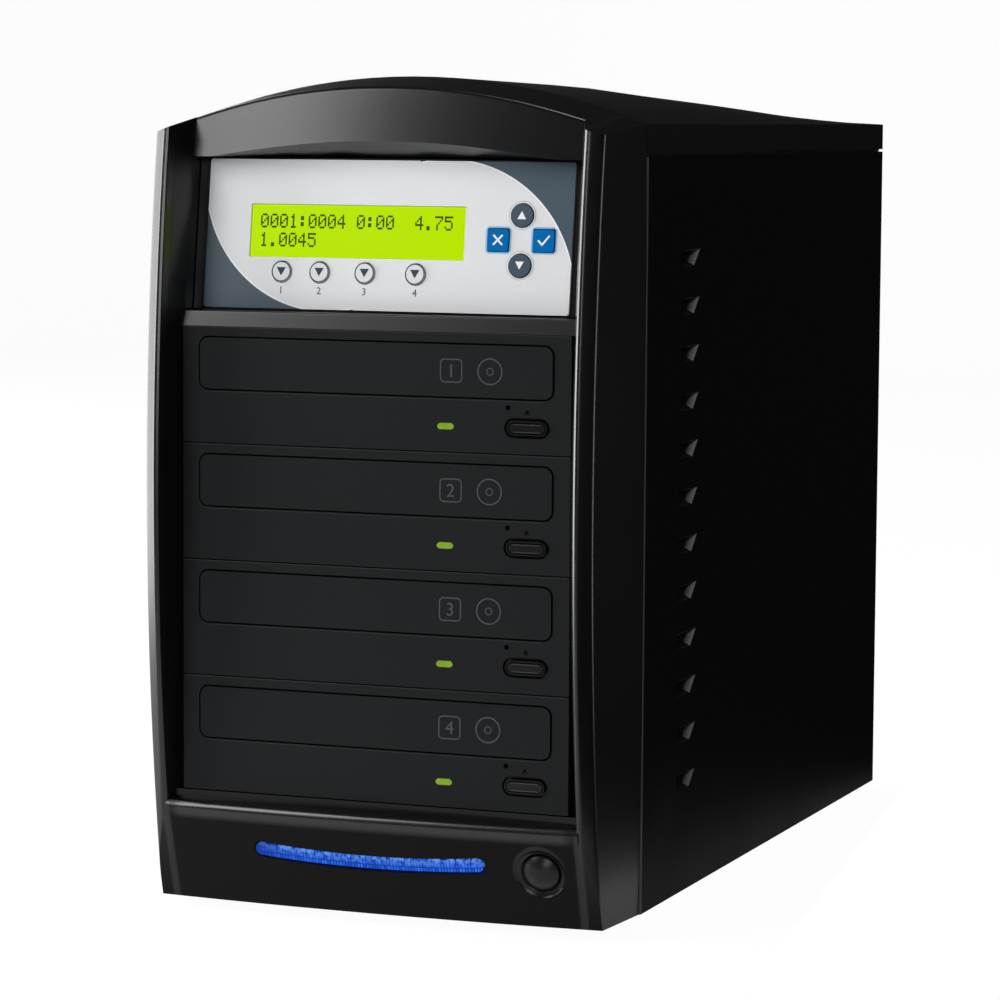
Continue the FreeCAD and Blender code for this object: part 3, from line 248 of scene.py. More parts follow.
def sweep_paint(own_white):
    paint = bpy.data.materials.new("white_sweep")
    paint.use_nodes = True
    tree = paint.node_tree
    tree.nodes.clear()
    out = tree.nodes.new("ShaderNodeOutputMaterial")
    matte = tree.nodes.new("ShaderNodeBsdfDiffuse")
    matte.inputs["Color"].default_value = (0.92, 0.92, 0.92, 1)
    glow = tree.nodes.new("ShaderNodeEmission")
    glow.inputs["Strength"].default_value = 1.03
    seen = seen_rays(tree, "Is Glossy Ray", "Is Transmission Ray")
    mix_shaders(tree, math_node(tree, "MULTIPLY", seen, own_white), matte, glow, out.inputs[0])
    return paint


sweep_form = sweep_mesh("white_sweep", left=-2.0, right_near=0.23, right_far=-0.295, front=-0.75, back=3.0,
                        height=0.47, turn=0.3)
white_sweep = bpy.data.objects.new("white_sweep", sweep_form)
white_sweep.data.materials.append(sweep_paint(own_white=0.93))
bpy.context.scene.collection.objects.link(white_sweep)
print("sweep faces", len(white_sweep.data.polygons))

# %% [markdown]
# Three small effects turn up on many surfaces, so each is a node group. Moulding grain
# is the fine pebbled skin that a steel mould leaves on plastic and that powder leaves on
# paint. Handling is the slow drift of gloss where a surface has been wiped and touched.
# Settled dust is a pale film that gathers on faces that look up.

# %% Effect groups


def effect_group(name, inputs, outputs):
    group = bpy.data.node_groups.new(name, "ShaderNodeTree")
    for label, value in inputs.items():
        socket = group.interface.new_socket(label, in_out="INPUT", socket_type="NodeSocketFloat")
        socket.default_value = value
    for label in outputs:
        group.interface.new_socket(label, in_out="OUTPUT", socket_type="NodeSocketFloat")
    return group, group.nodes.new("NodeGroupInput"), group.nodes.new("NodeGroupOutput")


def object_noise(tree, **values):
    return texture(tree, "Noise", object_point(tree), values).outputs["Fac"]


def moulding_grain_group():
    inputs = {"Scale": 2200.0, "Softness": 0.5}
    group, given, made = effect_group("moulding_grain", inputs, ["Height", "Fleck"])
    pebble = object_noise(group, Scale=given.outputs["Scale"], Detail=2.0,
                          Roughness=given.outputs["Softness"])
    group.links.new(pebble, made.inputs["Height"])
    group.links.new(ramp(group, pebble, 0.3, 0.7), made.inputs["Fleck"])
    return group


def handling_group():
    inputs = {"Scale": 14.0, "Low": 0.3, "High": 0.4}
    group, given, made = effect_group("handling", inputs, ["Gloss Drift"])
    smear = object_noise(group, Scale=given.outputs["Scale"], Detail=5.0, Distortion=0.6)
    drift = ramp(group, smear, 0.3, 0.7, given.outputs["Low"], given.outputs["High"])
    group.links.new(drift, made.inputs["Gloss Drift"])
    return group


def settled_dust_group():
    group, given, made = effect_group("settled_dust", {"Amount": 0.05}, ["Dust"])
    shape = group.nodes.new("ShaderNodeNewGeometry")
    split = group.nodes.new("ShaderNodeSeparateXYZ")
    group.links.new(shape.outputs["Normal"], split.inputs[0])
    upward = ramp(group, split.outputs["Z"], 0.55, 1.0)
    motes = object_noise(group, Scale=900.0, Detail=4.0)
    film = math_node(group, "MULTIPLY", math_node(group, "MULTIPLY", upward, motes), given.outputs["Amount"])
    group.links.new(film, made.inputs["Dust"])
    return group


moulding_grain = moulding_grain_group()
handling = handling_group()
settled_dust = settled_dust_group()
print("effect groups", [group.name for group in (moulding_grain, handling, settled_dust)])

# %% [markdown]
# Most of the tower is pigmented plastic or paint: a dark body colour under a skin with
# grain, a drifting gloss and a little dust. One recipe makes them all, and only the
# colours and numbers differ. Fixed values such as the specular level go straight on the
# shader's own sockets.

# %% Recipe for moulded and painted skins


def place_group(tree, group, **values):
    node = tree.nodes.new("ShaderNodeGroup")
    node.node_tree = group
    for label, value in values.items():
        node.inputs[label].default_value = value
    return node


def new_finish(name):
    material = bpy.data.materials.new(name)
    material.use_nodes = True
    return material, material.node_tree, material.node_tree.nodes["Principled BSDF"]


def drifting_gloss(tree, shader, low, high):
    touch = place_group(tree, handling, Low=low, High=high)
    tree.links.new(touch.outputs["Gloss Drift"], shader.inputs["Roughness"])


def grain_relief(tree, shader, grain, strength, depth=0.1 * mm):
    relief = tree.nodes.new("ShaderNodeBump")
    relief.inputs["Strength"].default_value = strength
    relief.inputs["Distance"].default_value = depth
    tree.links.new(grain.outputs["Height"], relief.inputs["Height"])
    tree.links.new(relief.outputs["Normal"], shader.inputs["Normal"])


dust_colour = (0.34, 0.33, 0.32)


def skin(name, dark, pale, gloss, grain_scale=2200.0, grain_depth=0.1, dust=0.04, specular=0.5):
    material, tree, shader = new_finish(name)
    shader.inputs["Specular IOR Level"].default_value = specular
    grain = place_group(tree, moulding_grain, Scale=grain_scale)
    film = place_group(tree, settled_dust, Amount=dust)
    tinted = blend_colour(tree, grain.outputs["Fleck"], dark, pale)
    dusty = blend_colour(tree, film.outputs["Dust"], tinted, dust_colour)
    tree.links.new(dusty, shader.inputs["Base Color"])
    drifting_gloss(tree, shader, *gloss)
    grain_relief(tree, shader, grain, grain_depth)
    return material


def case_paint(name):
    return skin(name, (0.0044, 0.0044, 0.0046), (0.0058, 0.0058, 0.0060), (0.4, 0.46),
                grain_scale=1500.0, grain_depth=0.08, dust=0.0, specular=0.005)


finishes = {
    "case_paint": case_paint("black_case_paint"),
    "cover_paint": skin("black_cover_paint", (0.0026, 0.0026, 0.0027), (0.0036, 0.0036, 0.0037), (0.4, 0.46),
                        grain_scale=1500.0, grain_depth=0.08, dust=0.0, specular=0.16),
    "drive_plastic": skin("drive_face_moulding", (0.0046, 0.0054, 0.0059), (0.0068, 0.0078, 0.0085),
                          (0.55, 0.62), grain_scale=3000.0, grain_depth=0.16, dust=0.0, specular=0.15),
    "tray_plastic": skin("tray_moulding", (0.0026, 0.0030, 0.0034), (0.0040, 0.0045, 0.0050), (0.5, 0.58),
                         grain_scale=3000.0, grain_depth=0.14, dust=0.0, specular=0.15),
    "button_plastic": skin("button_moulding", (0.0042, 0.0043, 0.0045), (0.0056, 0.0057, 0.0060), (0.3, 0.36),
                           grain_depth=0.02, dust=0.0, specular=0.25),
    "rubber": skin("foot_rubber", (0.017, 0.017, 0.017), (0.026, 0.025, 0.024), (0.75, 0.9),
                   grain_scale=1200.0, grain_depth=0.25, specular=0.3),
    "fan_plastic": skin("fan_moulding", (0.012, 0.012, 0.012), (0.016, 0.016, 0.016), (0.4, 0.5), dust=0.3),
    "inlet_plastic": skin("inlet_moulding", (0.013, 0.013, 0.013), (0.018, 0.018, 0.018), (0.35, 0.45)),
    "key_light": skin("pale_key_film", (0.66, 0.67, 0.69), (0.70, 0.71, 0.73), (0.34, 0.4),
                      grain_depth=0.03, dust=0.0),
    "key_slate": skin("slate_key_film", (0.05, 0.078, 0.104), (0.056, 0.086, 0.114), (0.34, 0.4),
                      grain_depth=0.03, dust=0.0, specular=0.2),
    "key_blue": skin("blue_key_film", (0.0, 0.122, 0.38), (0.0, 0.136, 0.41), (0.34, 0.4),
                     grain_depth=0.03, dust=0.0, specular=0.05),
}
print("skins", sorted(finishes))

# %% [markdown]
# The metals are bare: zinc-plated sheet for the drive shells, the supply and the rear,
# steel screws and brass posts. Plating shows a faint crystal pattern, called spangle,
# and noise draws it. On the brass the noise is squeezed in one direction, which leaves
# fine lines like those of a cutting tool.

# %% Bare metals


def bare_metal(name, pale, dark, gloss, scale, stretch=(1, 1, 1)):
    material, tree, shader = new_finish(name)
    shader.inputs["Metallic"].default_value = 1.0
    drawn = tree.nodes.new("ShaderNodeMapping")
    drawn.inputs["Scale"].default_value = stretch
    tree.links.new(object_point(tree), drawn.inputs["Vector"])
    crystal = texture(tree, "Noise", drawn.outputs["Vector"], {"Scale": scale, "Detail": 6.0})
    tree.links.new(blend_colour(tree, crystal.outputs["Fac"], dark, pale), shader.inputs["Base Color"])
    drifting_gloss(tree, shader, *gloss)
    grain_relief(tree, shader, place_group(tree, moulding_grain, Scale=1800.0), 0.04)
    return material


finishes["plated_steel"] = bare_metal("zinc_plate", (0.62, 0.62, 0.61), (0.44, 0.45, 0.46), (0.3, 0.45), 60.0)
finishes["steel"] = bare_metal("screw_steel", (0.36, 0.36, 0.37), (0.24, 0.24, 0.25), (0.25, 0.4), 300.0)
finishes["brass"] = bare_metal("post_brass", (0.72, 0.53, 0.22), (0.58, 0.40, 0.15), (0.25, 0.4), 200.0,
                               stretch=(1, 1, 4))
print("metals", [finishes[slot].name for slot in ("plated_steel", "steel", "brass")])

# %% [markdown]
# The control panel is a printed film: a pale middle, with two slate corners cut off by
# long curves and a thin white line along each curve. The print could be thin sheets laid
# on top, but over so large a face it is simpler for the film's own material to draw it.
# Each curve is a circle through three points, measured in millimetres from the middle of
# the film.

# %% Printed panel film
overlay_low, overlay_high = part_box("panel_overlay")
panel_middle = (overlay_low + overlay_high) / 2
joints = {joint["name"]: joint for joint in frame["joints"]}
panel_inward = Vector(joints["up_key_press"]["axis"]).normalized()
panel_across = Vector((1, 0, 0))
panel_rise = panel_across.cross(panel_inward)


def circle_through(first, second, third):
    (ax, ay), (bx, by), (cx, cy) = first, second, third
    turn = 2 * (ax * (by - cy) + bx * (cy - ay) + cx * (ay - by))
    a2, b2, c2 = ax * ax + ay * ay, bx * bx + by * by, cx * cx + cy * cy
    x = (a2 * (by - cy) + b2 * (cy - ay) + c2 * (ay - by)) / turn
    y = (a2 * (cx - bx) + b2 * (ax - cx) + c2 * (bx - ax)) / turn
    return x, y, math.hypot(ax - x, ay - y)


corner_points = ((29.1, 26.7), (61.2, 8.0), (69.8, -9.5))
slate_curves = [circle_through(*((turn * x, turn * y) for x, y in corner_points)) for turn in (1, -1)]
corner_reach = 38.0
line_half = 0.28
slate_colour = (0.052, 0.082, 0.108)
line_colour = (0.86, 0.87, 0.88)


def printed_film():
    material, tree, shader = new_finish("printed_film")
    x, _, z = object_place(tree)
    across = math_node(tree, "MULTIPLY", x, 1 / mm)
    lift = math_node(tree, "SUBTRACT", z, panel_middle.z)
    rise = math_node(tree, "MULTIPLY", lift, 1 / mm / panel_rise.z)
    colour = (0.72, 0.73, 0.745)
    for middle_x, middle_y, radius in slate_curves:
        outside = math_node(tree, "SUBTRACT", distance(tree, across, rise, middle_x, middle_y), radius)
        diagonal = math_node(tree, "ADD", across, rise)
        toward = math_node(tree, "MULTIPLY", diagonal, -math.copysign(1, middle_y))
        corner = math_node(tree, "GREATER_THAN", toward, corner_reach)
        beyond = math_node(tree, "GREATER_THAN", outside, 0.0)
        near = math_node(tree, "LESS_THAN", math_node(tree, "ABSOLUTE", outside), line_half)
        colour = blend_colour(tree, math_node(tree, "MULTIPLY", corner, beyond), colour, slate_colour)
        colour = blend_colour(tree, math_node(tree, "MULTIPLY", corner, near), colour, line_colour)
    grain = place_group(tree, moulding_grain, Scale=4000.0)
    fleck = tree.nodes.new("ShaderNodeMix")
    fleck.data_type = "RGBA"
    fleck.blend_type = "MULTIPLY"
    fleck.inputs[0].default_value = 0.04
    tree.links.new(colour, fleck.inputs[6])
    tree.links.new(grain.outputs["Fleck"], fleck.inputs[7])
    tree.links.new(fleck.outputs[2], shader.inputs["Base Color"])
    drifting_gloss(tree, shader, 0.3, 0.38)
    grain_relief(tree, shader, grain, 0.03, 0.05 * mm)
    return material


finishes["overlay_film"] = printed_film()
print("slate curves", [tuple(round(value, 1) for value in curve) for curve in slate_curves])

# %% [markdown]
# Three things on the tower give light: the yellow-green display, the blue bar in the
# chin and the small lamp of each drive. Each is a lens with a lamp behind it, so its
# colour is mostly emission. The bar's lens is ribbed, and shows as rows of bright cells.

# %% Lit lenses


def lit_lens(name, body, bright, dim, scale, gloss):
    material, tree, shader = new_finish(name)
    shader.inputs["Base Color"].default_value = (*body, 1)
    shader.inputs["Specular IOR Level"].default_value = 0.1
    shader.inputs["Emission Strength"].default_value = 1.0
    cells = texture(tree, "Voronoi", object_point(tree), {"Scale": scale})
    fade = ramp(tree, cells.outputs["Distance"], 0.0, 0.75)
    tree.links.new(blend_colour(tree, fade, bright, dim), shader.inputs["Emission Color"])
    drifting_gloss(tree, shader, *gloss)
    return material


finishes["lamp_lens"] = lit_lens("drive_lamp_lens", (0.08, 0.13, 0.01), (0.15, 0.26, 0.02),
                                 (0.11, 0.2, 0.014), 300.0, (0.25, 0.35))
finishes["display"] = lit_lens("display_glow", (0.08, 0.12, 0.0), (0.44, 0.74, 0.0), (0.40, 0.67, 0.0),
                               18.0, (0.2, 0.28))
print("lenses", [finishes[slot].name for slot in ("lamp_lens", "display")])

# %% [markdown]
# The bar in the chin is a curved strip of clear plastic over a row of blue lamps. Ribs
# moulded into its back break the light into small cells, brightest along the upper edge
# and fading at the left end. The cells come from a brick pattern that is first bent, so
# that its rows follow the curve of the bar.

# %% Blue light bar
bar_low, bar_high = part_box("light_bar")
bar_half = (bar_high.x - bar_low.x) / 2 / mm
bar_sag = 2.0
bar_rise = (bar_high.z - bar_low.z) / mm - bar_sag


def ribbed_blue_lens():
    material, tree, shader = new_finish("ribbed_blue_lens")
    shader.inputs["Base Color"].default_value = (0.002, 0.01, 0.08, 1)
    shader.inputs["Specular IOR Level"].default_value = 0.06
    shader.inputs["Emission Strength"].default_value = 1.0
    x, _, z = object_place(tree)
    along = math_node(tree, "MULTIPLY", x, 1 / mm)
    bend = math_node(tree, "MULTIPLY", math_node(tree, "MULTIPLY", along, along), bar_sag / bar_half ** 2)
    height = math_node(tree, "MULTIPLY", z, 1 / mm)
    above = math_node(tree, "SUBTRACT", math_node(tree, "SUBTRACT", height, bend), bar_low.z / mm)
    laid = tree.nodes.new("ShaderNodeCombineXYZ")
    tree.links.new(along, laid.inputs["X"])
    tree.links.new(above, laid.inputs["Y"])
    cells = texture(tree, "Brick", laid.outputs[0], {
        "Scale": 1.0, "Brick Width": 1.15, "Row Height": bar_rise / 4, "Mortar Size": 0.17,
        "Mortar Smooth": 0.6, "Color1": (0.004, 0.052, 0.46), "Color2": (0.020, 0.150, 0.78),
        "Mortar": (0.0005, 0.008, 0.10),
    })
    cells.offset = 0.0
    sparkle = texture(tree, "Noise", laid.outputs[0], {"Scale": 0.55})
    upper = ramp(tree, above, 0.25 * bar_rise, 0.80 * bar_rise)
    lively = ramp(tree, sparkle.outputs["Fac"], 0.40, 0.60)
    pale = math_node(tree, "MULTIPLY", math_node(tree, "MULTIPLY", upper, lively), 0.8)
    bright = blend_colour(tree, pale, cells.outputs["Color"], (0.18, 0.40, 0.92))
    left_end = ramp(tree, along, -bar_half, -0.72 * bar_half, 0.9, 0.0)
    faded = blend_colour(tree, left_end, bright, (0.004, 0.022, 0.22))
    tree.links.new(faded, shader.inputs["Emission Color"])
    drifting_gloss(tree, shader, 0.15, 0.25)
    return material


finishes["light_lens"] = ribbed_blue_lens()
print("light bar half length mm", round(bar_half, 1), "height mm", round(bar_rise, 2))

# %% [markdown]
# The front moulding is black plastic that has been polished: its pillars, brow and ridges
# gleam, while the chin under its lip is duller, with the open grain of the mould. The body
# of the plastic hardly shines, and a clear coat on top carries the polish, most of all on
# the rounded lip. Masks keep the coat off the chin below it and let it fade at the foot of
# the pillars, but leave it in the round dish that the power button sits in.

# %% Polished front moulding
lip_height = 35.0 * mm
lip_start = lip_height - 0.5 * mm
ridge_across = 79.0 * mm
pillar_edge = 77.0 * mm
dish_radius = 9.3 * mm
dish_low, dish_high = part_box("power_button")
dish_middle = (dish_low + dish_high) / 2


def polished_moulding():
    material = skin("satin_black_moulding", (0.0028, 0.0028, 0.0030), (0.0038, 0.0038, 0.0040), (0.30, 0.35),
                    grain_depth=0.05, dust=0.0, specular=0.08)
    tree = material.node_tree
    shader = tree.nodes["Principled BSDF"]
    shader.inputs["Coat Roughness"].default_value = 0.27
    x, _, z = object_place(tree)
    across = math_node(tree, "ABSOLUTE", x)
    above_lip = ramp(tree, z, lip_start, lip_height + 3 * mm)
    foot = ramp(tree, z, 6 * mm, lip_start)
    pillar = math_node(tree, "MULTIPLY", ramp(tree, across, pillar_edge, pillar_edge + 2.5 * mm), foot)
    reach = distance(tree, x, z, dish_middle.x, dish_middle.z)
    dish = ramp(tree, reach, dish_radius + 0.6 * mm, dish_radius, 0.0, 1.2)
    kept = math_node(tree, "MAXIMUM", math_node(tree, "MAXIMUM", above_lip, pillar), dish)
    coat = math_node(tree, "MULTIPLY", kept, ramp(tree, z, 20 * mm, 130 * mm, 0.3, 0.6))
    aside = math_node(tree, "ABSOLUTE", math_node(tree, "SUBTRACT", across, ridge_across))
    ridge = ramp(tree, aside, 1.8 * mm, 1.0 * mm, 0.0, 0.4)
    band = math_node(tree, "MULTIPLY", ramp(tree, z, lip_start, lip_height + 1.5 * mm),
                     ramp(tree, z, lip_height + 7 * mm, lip_height + 5 * mm))
    lip = math_node(tree, "MULTIPLY", band, ramp(tree, across, pillar_edge, pillar_edge - 4 * mm, 0.0, 0.6))
    polish = math_node(tree, "ADD", coat, math_node(tree, "ADD", ridge, lip))
    tree.links.new(polish, shader.inputs["Coat Weight"])
    return material


finishes["bezel_plastic"] = polished_moulding()
print("polish starts at z mm", round(lip_start / mm, 1))

# %% [markdown]
# The sides are the same black paint, with a column of hollows pressed into them. Pressing
# stretches the sheet and burnishes the paint where it bends, so a clear coat shines just
# behind the face of the side and dies away deeper in. The front edge is hemmed, and a strip
# of paler paint along it is a painted highlight for the light that the rounded hem catches
# where it meets the front moulding.

# %% Pressed side paint
side_low, side_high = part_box("right_side_panel")


def pressed_paint():
    material = case_paint("pressed_side_paint")
    tree = material.node_tree
    shader = tree.nodes["Principled BSDF"]
    shader.inputs["Coat Roughness"].default_value = 0.3
    x, y, _ = object_place(tree)
    outward = math_node(tree, "ABSOLUTE", x)
    bent = ramp(tree, outward, side_high.x - 0.1 * mm, side_high.x - 0.4 * mm)
    shallow = ramp(tree, outward, side_high.x - 2.6 * mm, side_high.x - 0.5 * mm)
    tree.links.new(math_node(tree, "MULTIPLY", bent, shallow), shader.inputs["Coat Weight"])
    # Painted highlight: a strip of paler paint along the front edge stands for the light the rounded hem
    # catches.
    painted_hem_highlight = ramp(tree, y, side_low.y + 1.6 * mm, side_low.y + 0.8 * mm)
    painted = shader.inputs["Base Color"].links[0].from_socket
    tree.links.new(blend_colour(tree, painted_hem_highlight, painted, (0.07, 0.07, 0.07)), shader.inputs["Base Color"])
    return material


finishes["pressed_paint"] = pressed_paint()
print("side face at x mm", round(side_high.x / mm, 2))

# %% [markdown]
# The boards are glass laminate under green solder mask. Copper tracks show through the
# mask as slightly paler lines, which a brick pattern on the board suggests.

# %% Solder mask


def solder_mask():
    material, tree, shader = new_finish("solder_mask")
    tracks = texture(tree, "Brick", object_point(tree), {
        "Scale": 90.0, "Mortar Size": 0.03, "Color1": (0.010, 0.075, 0.028), "Color2": (0.012, 0.085, 0.032),
        "Mortar": (0.03, 0.16, 0.06),
    })
    tree.links.new(tracks.outputs["Color"], shader.inputs["Base Color"])
    drifting_gloss(tree, shader, 0.25, 0.4)
    return material


finishes["circuit_board"] = solder_mask()
print("finishes", len(finishes))

# %% [markdown]
# A real edge is never perfectly sharp: moulds and folded sheets leave a small radius,
# and that radius is what catches the light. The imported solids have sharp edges, so a
# stack of modifiers joins their triangles, rounds the edges a little and evens out the
# shading. The solids themselves are not changed.

# %% Soft edges for the solids


def smooth_by_angle_tree(degrees):
    tree = bpy.data.node_groups.new(f"smooth_by_angle_{degrees}", "GeometryNodeTree")
    tree.interface.new_socket("Geometry", in_out="INPUT", socket_type="NodeSocketGeometry")
    tree.interface.new_socket("Geometry", in_out="OUTPUT", socket_type="NodeSocketGeometry")
    given = tree.nodes.new("NodeGroupInput")
    made = tree.nodes.new("NodeGroupOutput")
    plain = tree.nodes.new("GeometryNodeRemoveAttribute")
    plain.inputs["Name"].default_value = "custom_normal"
    faces = tree.nodes.new("GeometryNodeSetShadeSmooth")
    faces.domain = "FACE"
    edges = tree.nodes.new("GeometryNodeSetShadeSmooth")
    edges.domain = "EDGE"
    angle = tree.nodes.new("GeometryNodeInputMeshEdgeAngle")
    soft = tree.nodes.new("FunctionNodeCompare")
    soft.data_type = "FLOAT"
    soft.operation = "LESS_THAN"
    soft.inputs[1].default_value = math.radians(degrees)
    tree.links.new(given.outputs[0], plain.inputs["Geometry"])
    tree.links.new(plain.outputs["Geometry"], faces.inputs["Geometry"])
    tree.links.new(faces.outputs["Geometry"], edges.inputs["Geometry"])
    tree.links.new(angle.outputs["Unsigned Angle"], soft.inputs[0])
    tree.links.new(soft.outputs[0], edges.inputs["Shade Smooth"])
    tree.links.new(edges.outputs["Geometry"], made.inputs[0])
    return tree


smooth_by_angle = smooth_by_angle_tree(33)
smooth_moulding = smooth_by_angle_tree(24)
flat_angle = math.radians(0.3)
sharp_angle = math.radians(30)
edge_steps = 2


def round_edges(piece, radius):
    flat = piece.modifiers.new("flat", "DECIMATE")
    flat.decimate_type = "DISSOLVE"
    flat.angle_limit = flat_angle
    edge = piece.modifiers.new("edge", "BEVEL")
    edge.limit_method = "ANGLE"
    edge.angle_limit = sharp_angle
    edge.width = radius
    edge.segments = edge_steps
    edge.use_clamp_overlap = False


def soften(piece, radius, shading):
    weld = piece.modifiers.new("weld", "WELD")
    weld.merge_threshold = 0.02 * mm
    if radius:
        round_edges(piece, radius)
    shade = piece.modifiers.new("shade", "NODES")
    shade.node_group = shading
    even = piece.modifiers.new("even", "WEIGHTED_NORMAL")
    even.keep_sharp = True


usual_radius = 0.2
edge_radii = {
    "front_bezel": 0, "top_cover": 0, "right_side_panel": 0, "left_side_panel": 0, "rubber_feet": 0.4,
    "panel_overlay": 0.12, "light_bar": 0.1, "mains_inlet": 0.3, "supply_rocker": 0.4, "case_screws": 0.3,
}
special_finishes = {"top_cover": "cover_paint", "right_side_panel": "pressed_paint",
                    "left_side_panel": "pressed_paint"}
for name, node in nodes.items():
    slot_name = node.material_slots[0].material.name.split(".")[0]
    node.material_slots[0].material = finishes[special_finishes.get(name, slot_name)]
    shading = smooth_moulding if name == "front_bezel" else smooth_by_angle
    soften(node, edge_radii.get(name, usual_radius) * mm, shading)
print("dressed nodes", len(nodes))

# %% [markdown]
# Printed and moulded marks are drawn as flat outlines in millimetres: rings, arrow heads,
# straight strokes, frames with round corners and plain numbers. Each helper hands back a
# list of small polygons, so a mark is put together by adding lists. A number is drawn as
# a text curve, turned into a mesh and read out as polygons.

# %% Outlines for marks


def ring(x, y, inner, outer, steps=48):
    turns = [(math.cos(2 * math.pi * i / steps), math.sin(2 * math.pi * i / steps)) for i in range(steps + 1)]
    return [[(x + inner * c0, y + inner * s0), (x + outer * c0, y + outer * s0),
             (x + outer * c1, y + outer * s1), (x + inner * c1, y + inner * s1)]
            for (c0, s0), (c1, s1) in zip(turns, turns[1:])]


def arrow_head(x, y, wide, tall):
    return [[(x - wide / 2, y - tall / 2), (x + wide / 2, y - tall / 2), (x, y + tall / 2)]]


def stroke(start, end, width):
    along = Vector((end[0] - start[0], end[1] - start[1])).normalized() * width / 2
    side = Vector((-along.y, along.x))
    a, b = Vector(start) - along, Vector(end) + along
    return [[tuple(a - side), tuple(b - side), tuple(b + side), tuple(a + side)]]


def crossed_strokes(x, y, reach, width):
    return (stroke((x - reach, y - reach), (x + reach, y + reach), width)
            + stroke((x - reach, y + reach), (x + reach, y - reach), width))


def rounded_frame(x, y, wide, tall, radius, line, steps=6):
    def loop(inset):
        curve = max(radius - inset, 0.1)
        reach_x, reach_y = wide / 2 - inset - curve, tall / 2 - inset - curve
        points = []
        for corner, (cx, cy) in enumerate(((1, 1), (-1, 1), (-1, -1), (1, -1))):
            for step in range(steps + 1):
                angle = math.pi / 2 * (corner + step / steps)
                points.append((x + cx * reach_x + curve * math.cos(angle),
                               y + cy * reach_y + curve * math.sin(angle)))
        return points
    outer, inner = loop(0.0), loop(line)
    count = len(outer)
    return [[inner[i], outer[i], outer[(i + 1) % count], inner[(i + 1) % count]] for i in range(count)]


def numeral(text, x, y, height):
    drawn = bpy.data.curves.new("numeral", "FONT")
    drawn.body = text
    drawn.size = 1.0
    holder = bpy.data.objects.new("numeral", drawn)
    bpy.context.scene.collection.objects.link(holder)
    bpy.context.view_layer.update()
    mesh = bpy.data.meshes.new_from_object(holder.evaluated_get(bpy.context.evaluated_depsgraph_get()))
    low = Vector((min(v.co.x for v in mesh.vertices), min(v.co.y for v in mesh.vertices)))
    high = Vector((max(v.co.x for v in mesh.vertices), max(v.co.y for v in mesh.vertices)))
    scale = height / (high.y - low.y)
    shapes = [[(x + (mesh.vertices[i].co.x - (low.x + high.x) / 2) * scale,
                y + (mesh.vertices[i].co.y - (low.y + high.y) / 2) * scale) for i in polygon.vertices]
              for polygon in mesh.polygons]
    bpy.data.objects.remove(holder)
    bpy.data.curves.remove(drawn)
    bpy.data.meshes.remove(mesh)
    return shapes


print("polygons in a ring", len(ring(0, 0, inner=1, outer=2)))

# %% [markdown]
# Marks on the panel lie flat on the film or on a key. Each outline is laid on the face
# that carries it and given the thickness of a layer of ink. A mark on a key rides on that
# key.

# %% Ink on the panel
ink_thickness = 0.05 * mm


def panel_depth(node):
    return min(panel_inward.dot(vertex.co) for vertex in nodes[node].data.vertices)


def on_panel(across, rise, depth):
    point = panel_middle + panel_across * across * mm + panel_rise * rise * mm
    return point + panel_inward * (depth - panel_inward.dot(point))


def add_piece(name, mesh, body, material):
    piece = bpy.data.objects.new(name, mesh)
    mesh.materials.append(material)
    bpy.context.scene.collection.objects.link(piece)
    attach(piece, body)
    return piece


def ink_piece(name, shapes, lay, body, material):
    mesh = bpy.data.meshes.new(name)
    built = bmesh.new()
    for shape in shapes:
        fronts = [built.verts.new(lay(x, y, 1.0)) for x, y in shape]
        backs = [built.verts.new(lay(x, y, 0.0)) for x, y in shape]
        built.faces.new(fronts)
        built.faces.new(list(reversed(backs)))
        for i in range(len(shape)):
            j = (i + 1) % len(shape)
            built.faces.new((fronts[i], backs[i], backs[j], fronts[j]))
    bmesh.ops.recalc_face_normals(built, faces=built.faces)
    built.to_mesh(mesh)
    built.free()
    return add_piece(name, mesh, body, material)


def panel_ink(name, shapes, carrier, body, material):
    depth = panel_depth(carrier)
    return ink_piece(name, shapes, lambda x, y, share: on_panel(x, y, depth - share * ink_thickness),
                     body, material)


def ink_finish(name, dark, pale, gloss, specular=0.5):
    return skin(name, dark, pale, gloss, grain_depth=0.02, dust=0.0, specular=specular)


slate_ink = ink_finish("slate_ink", (0.035, 0.05, 0.066), (0.04, 0.058, 0.075), (0.4, 0.46), specular=0.12)
white_ink = ink_finish("white_ink", (0.82, 0.83, 0.84), (0.86, 0.87, 0.88), (0.36, 0.42))
sky_ink = ink_finish("sky_ink", (0.25, 0.48, 0.68), (0.28, 0.52, 0.72), (0.36, 0.42))
grey_ink = ink_finish("grey_ink", (0.27, 0.29, 0.31), (0.30, 0.32, 0.34), (0.4, 0.46))
print("panel at", tuple(round(value, 4) for value in panel_middle))

# %% [markdown]
# Four round keys under the display each carry a ring and an arrow that points down, with
# a plain number below. The two dark keys move through the menu. The blue square keys go
# back and confirm, and get a cross and a tick. The frame round a blue key is drawn from
# the size of its cap, so the two stay together.

# %% Key marks


def panel_place(node):
    low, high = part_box(node)
    middle = (low + high) / 2 - panel_middle
    return middle.dot(panel_across) / mm, middle.dot(panel_rise) / mm


def cap_points(node, inward):
    points = [vertex.co for vertex in nodes[node].data.vertices]
    front = min(inward.dot(point) for point in points)
    return [point for point in points if inward.dot(point) < front + 0.05 * mm]


def cap_size(node, inward):
    points = cap_points(node, inward)
    spans = [[point[axis] for point in points] for axis in (0, 2)]
    return [(max(span) - min(span)) / mm for span in spans]


def key_ink(key, shapes, material):
    panel_ink(f"{key}_mark", shapes, key, key, material)


def film_ink(name, shapes, material):
    panel_ink(name, shapes, "panel_overlay", "case", material)


number_drop = 6.6
for number in range(1, 5):
    key = f"function_key_{number}"
    x, y = panel_place(key)
    arrow = arrow_head(x, y, wide=3.6, tall=-3.0)
    key_ink(key, ring(x, y, inner=3.3, outer=3.68) + arrow, slate_ink)
    film_ink(f"{key}_number", numeral(str(number), x, y - number_drop, height=2.5), slate_ink)

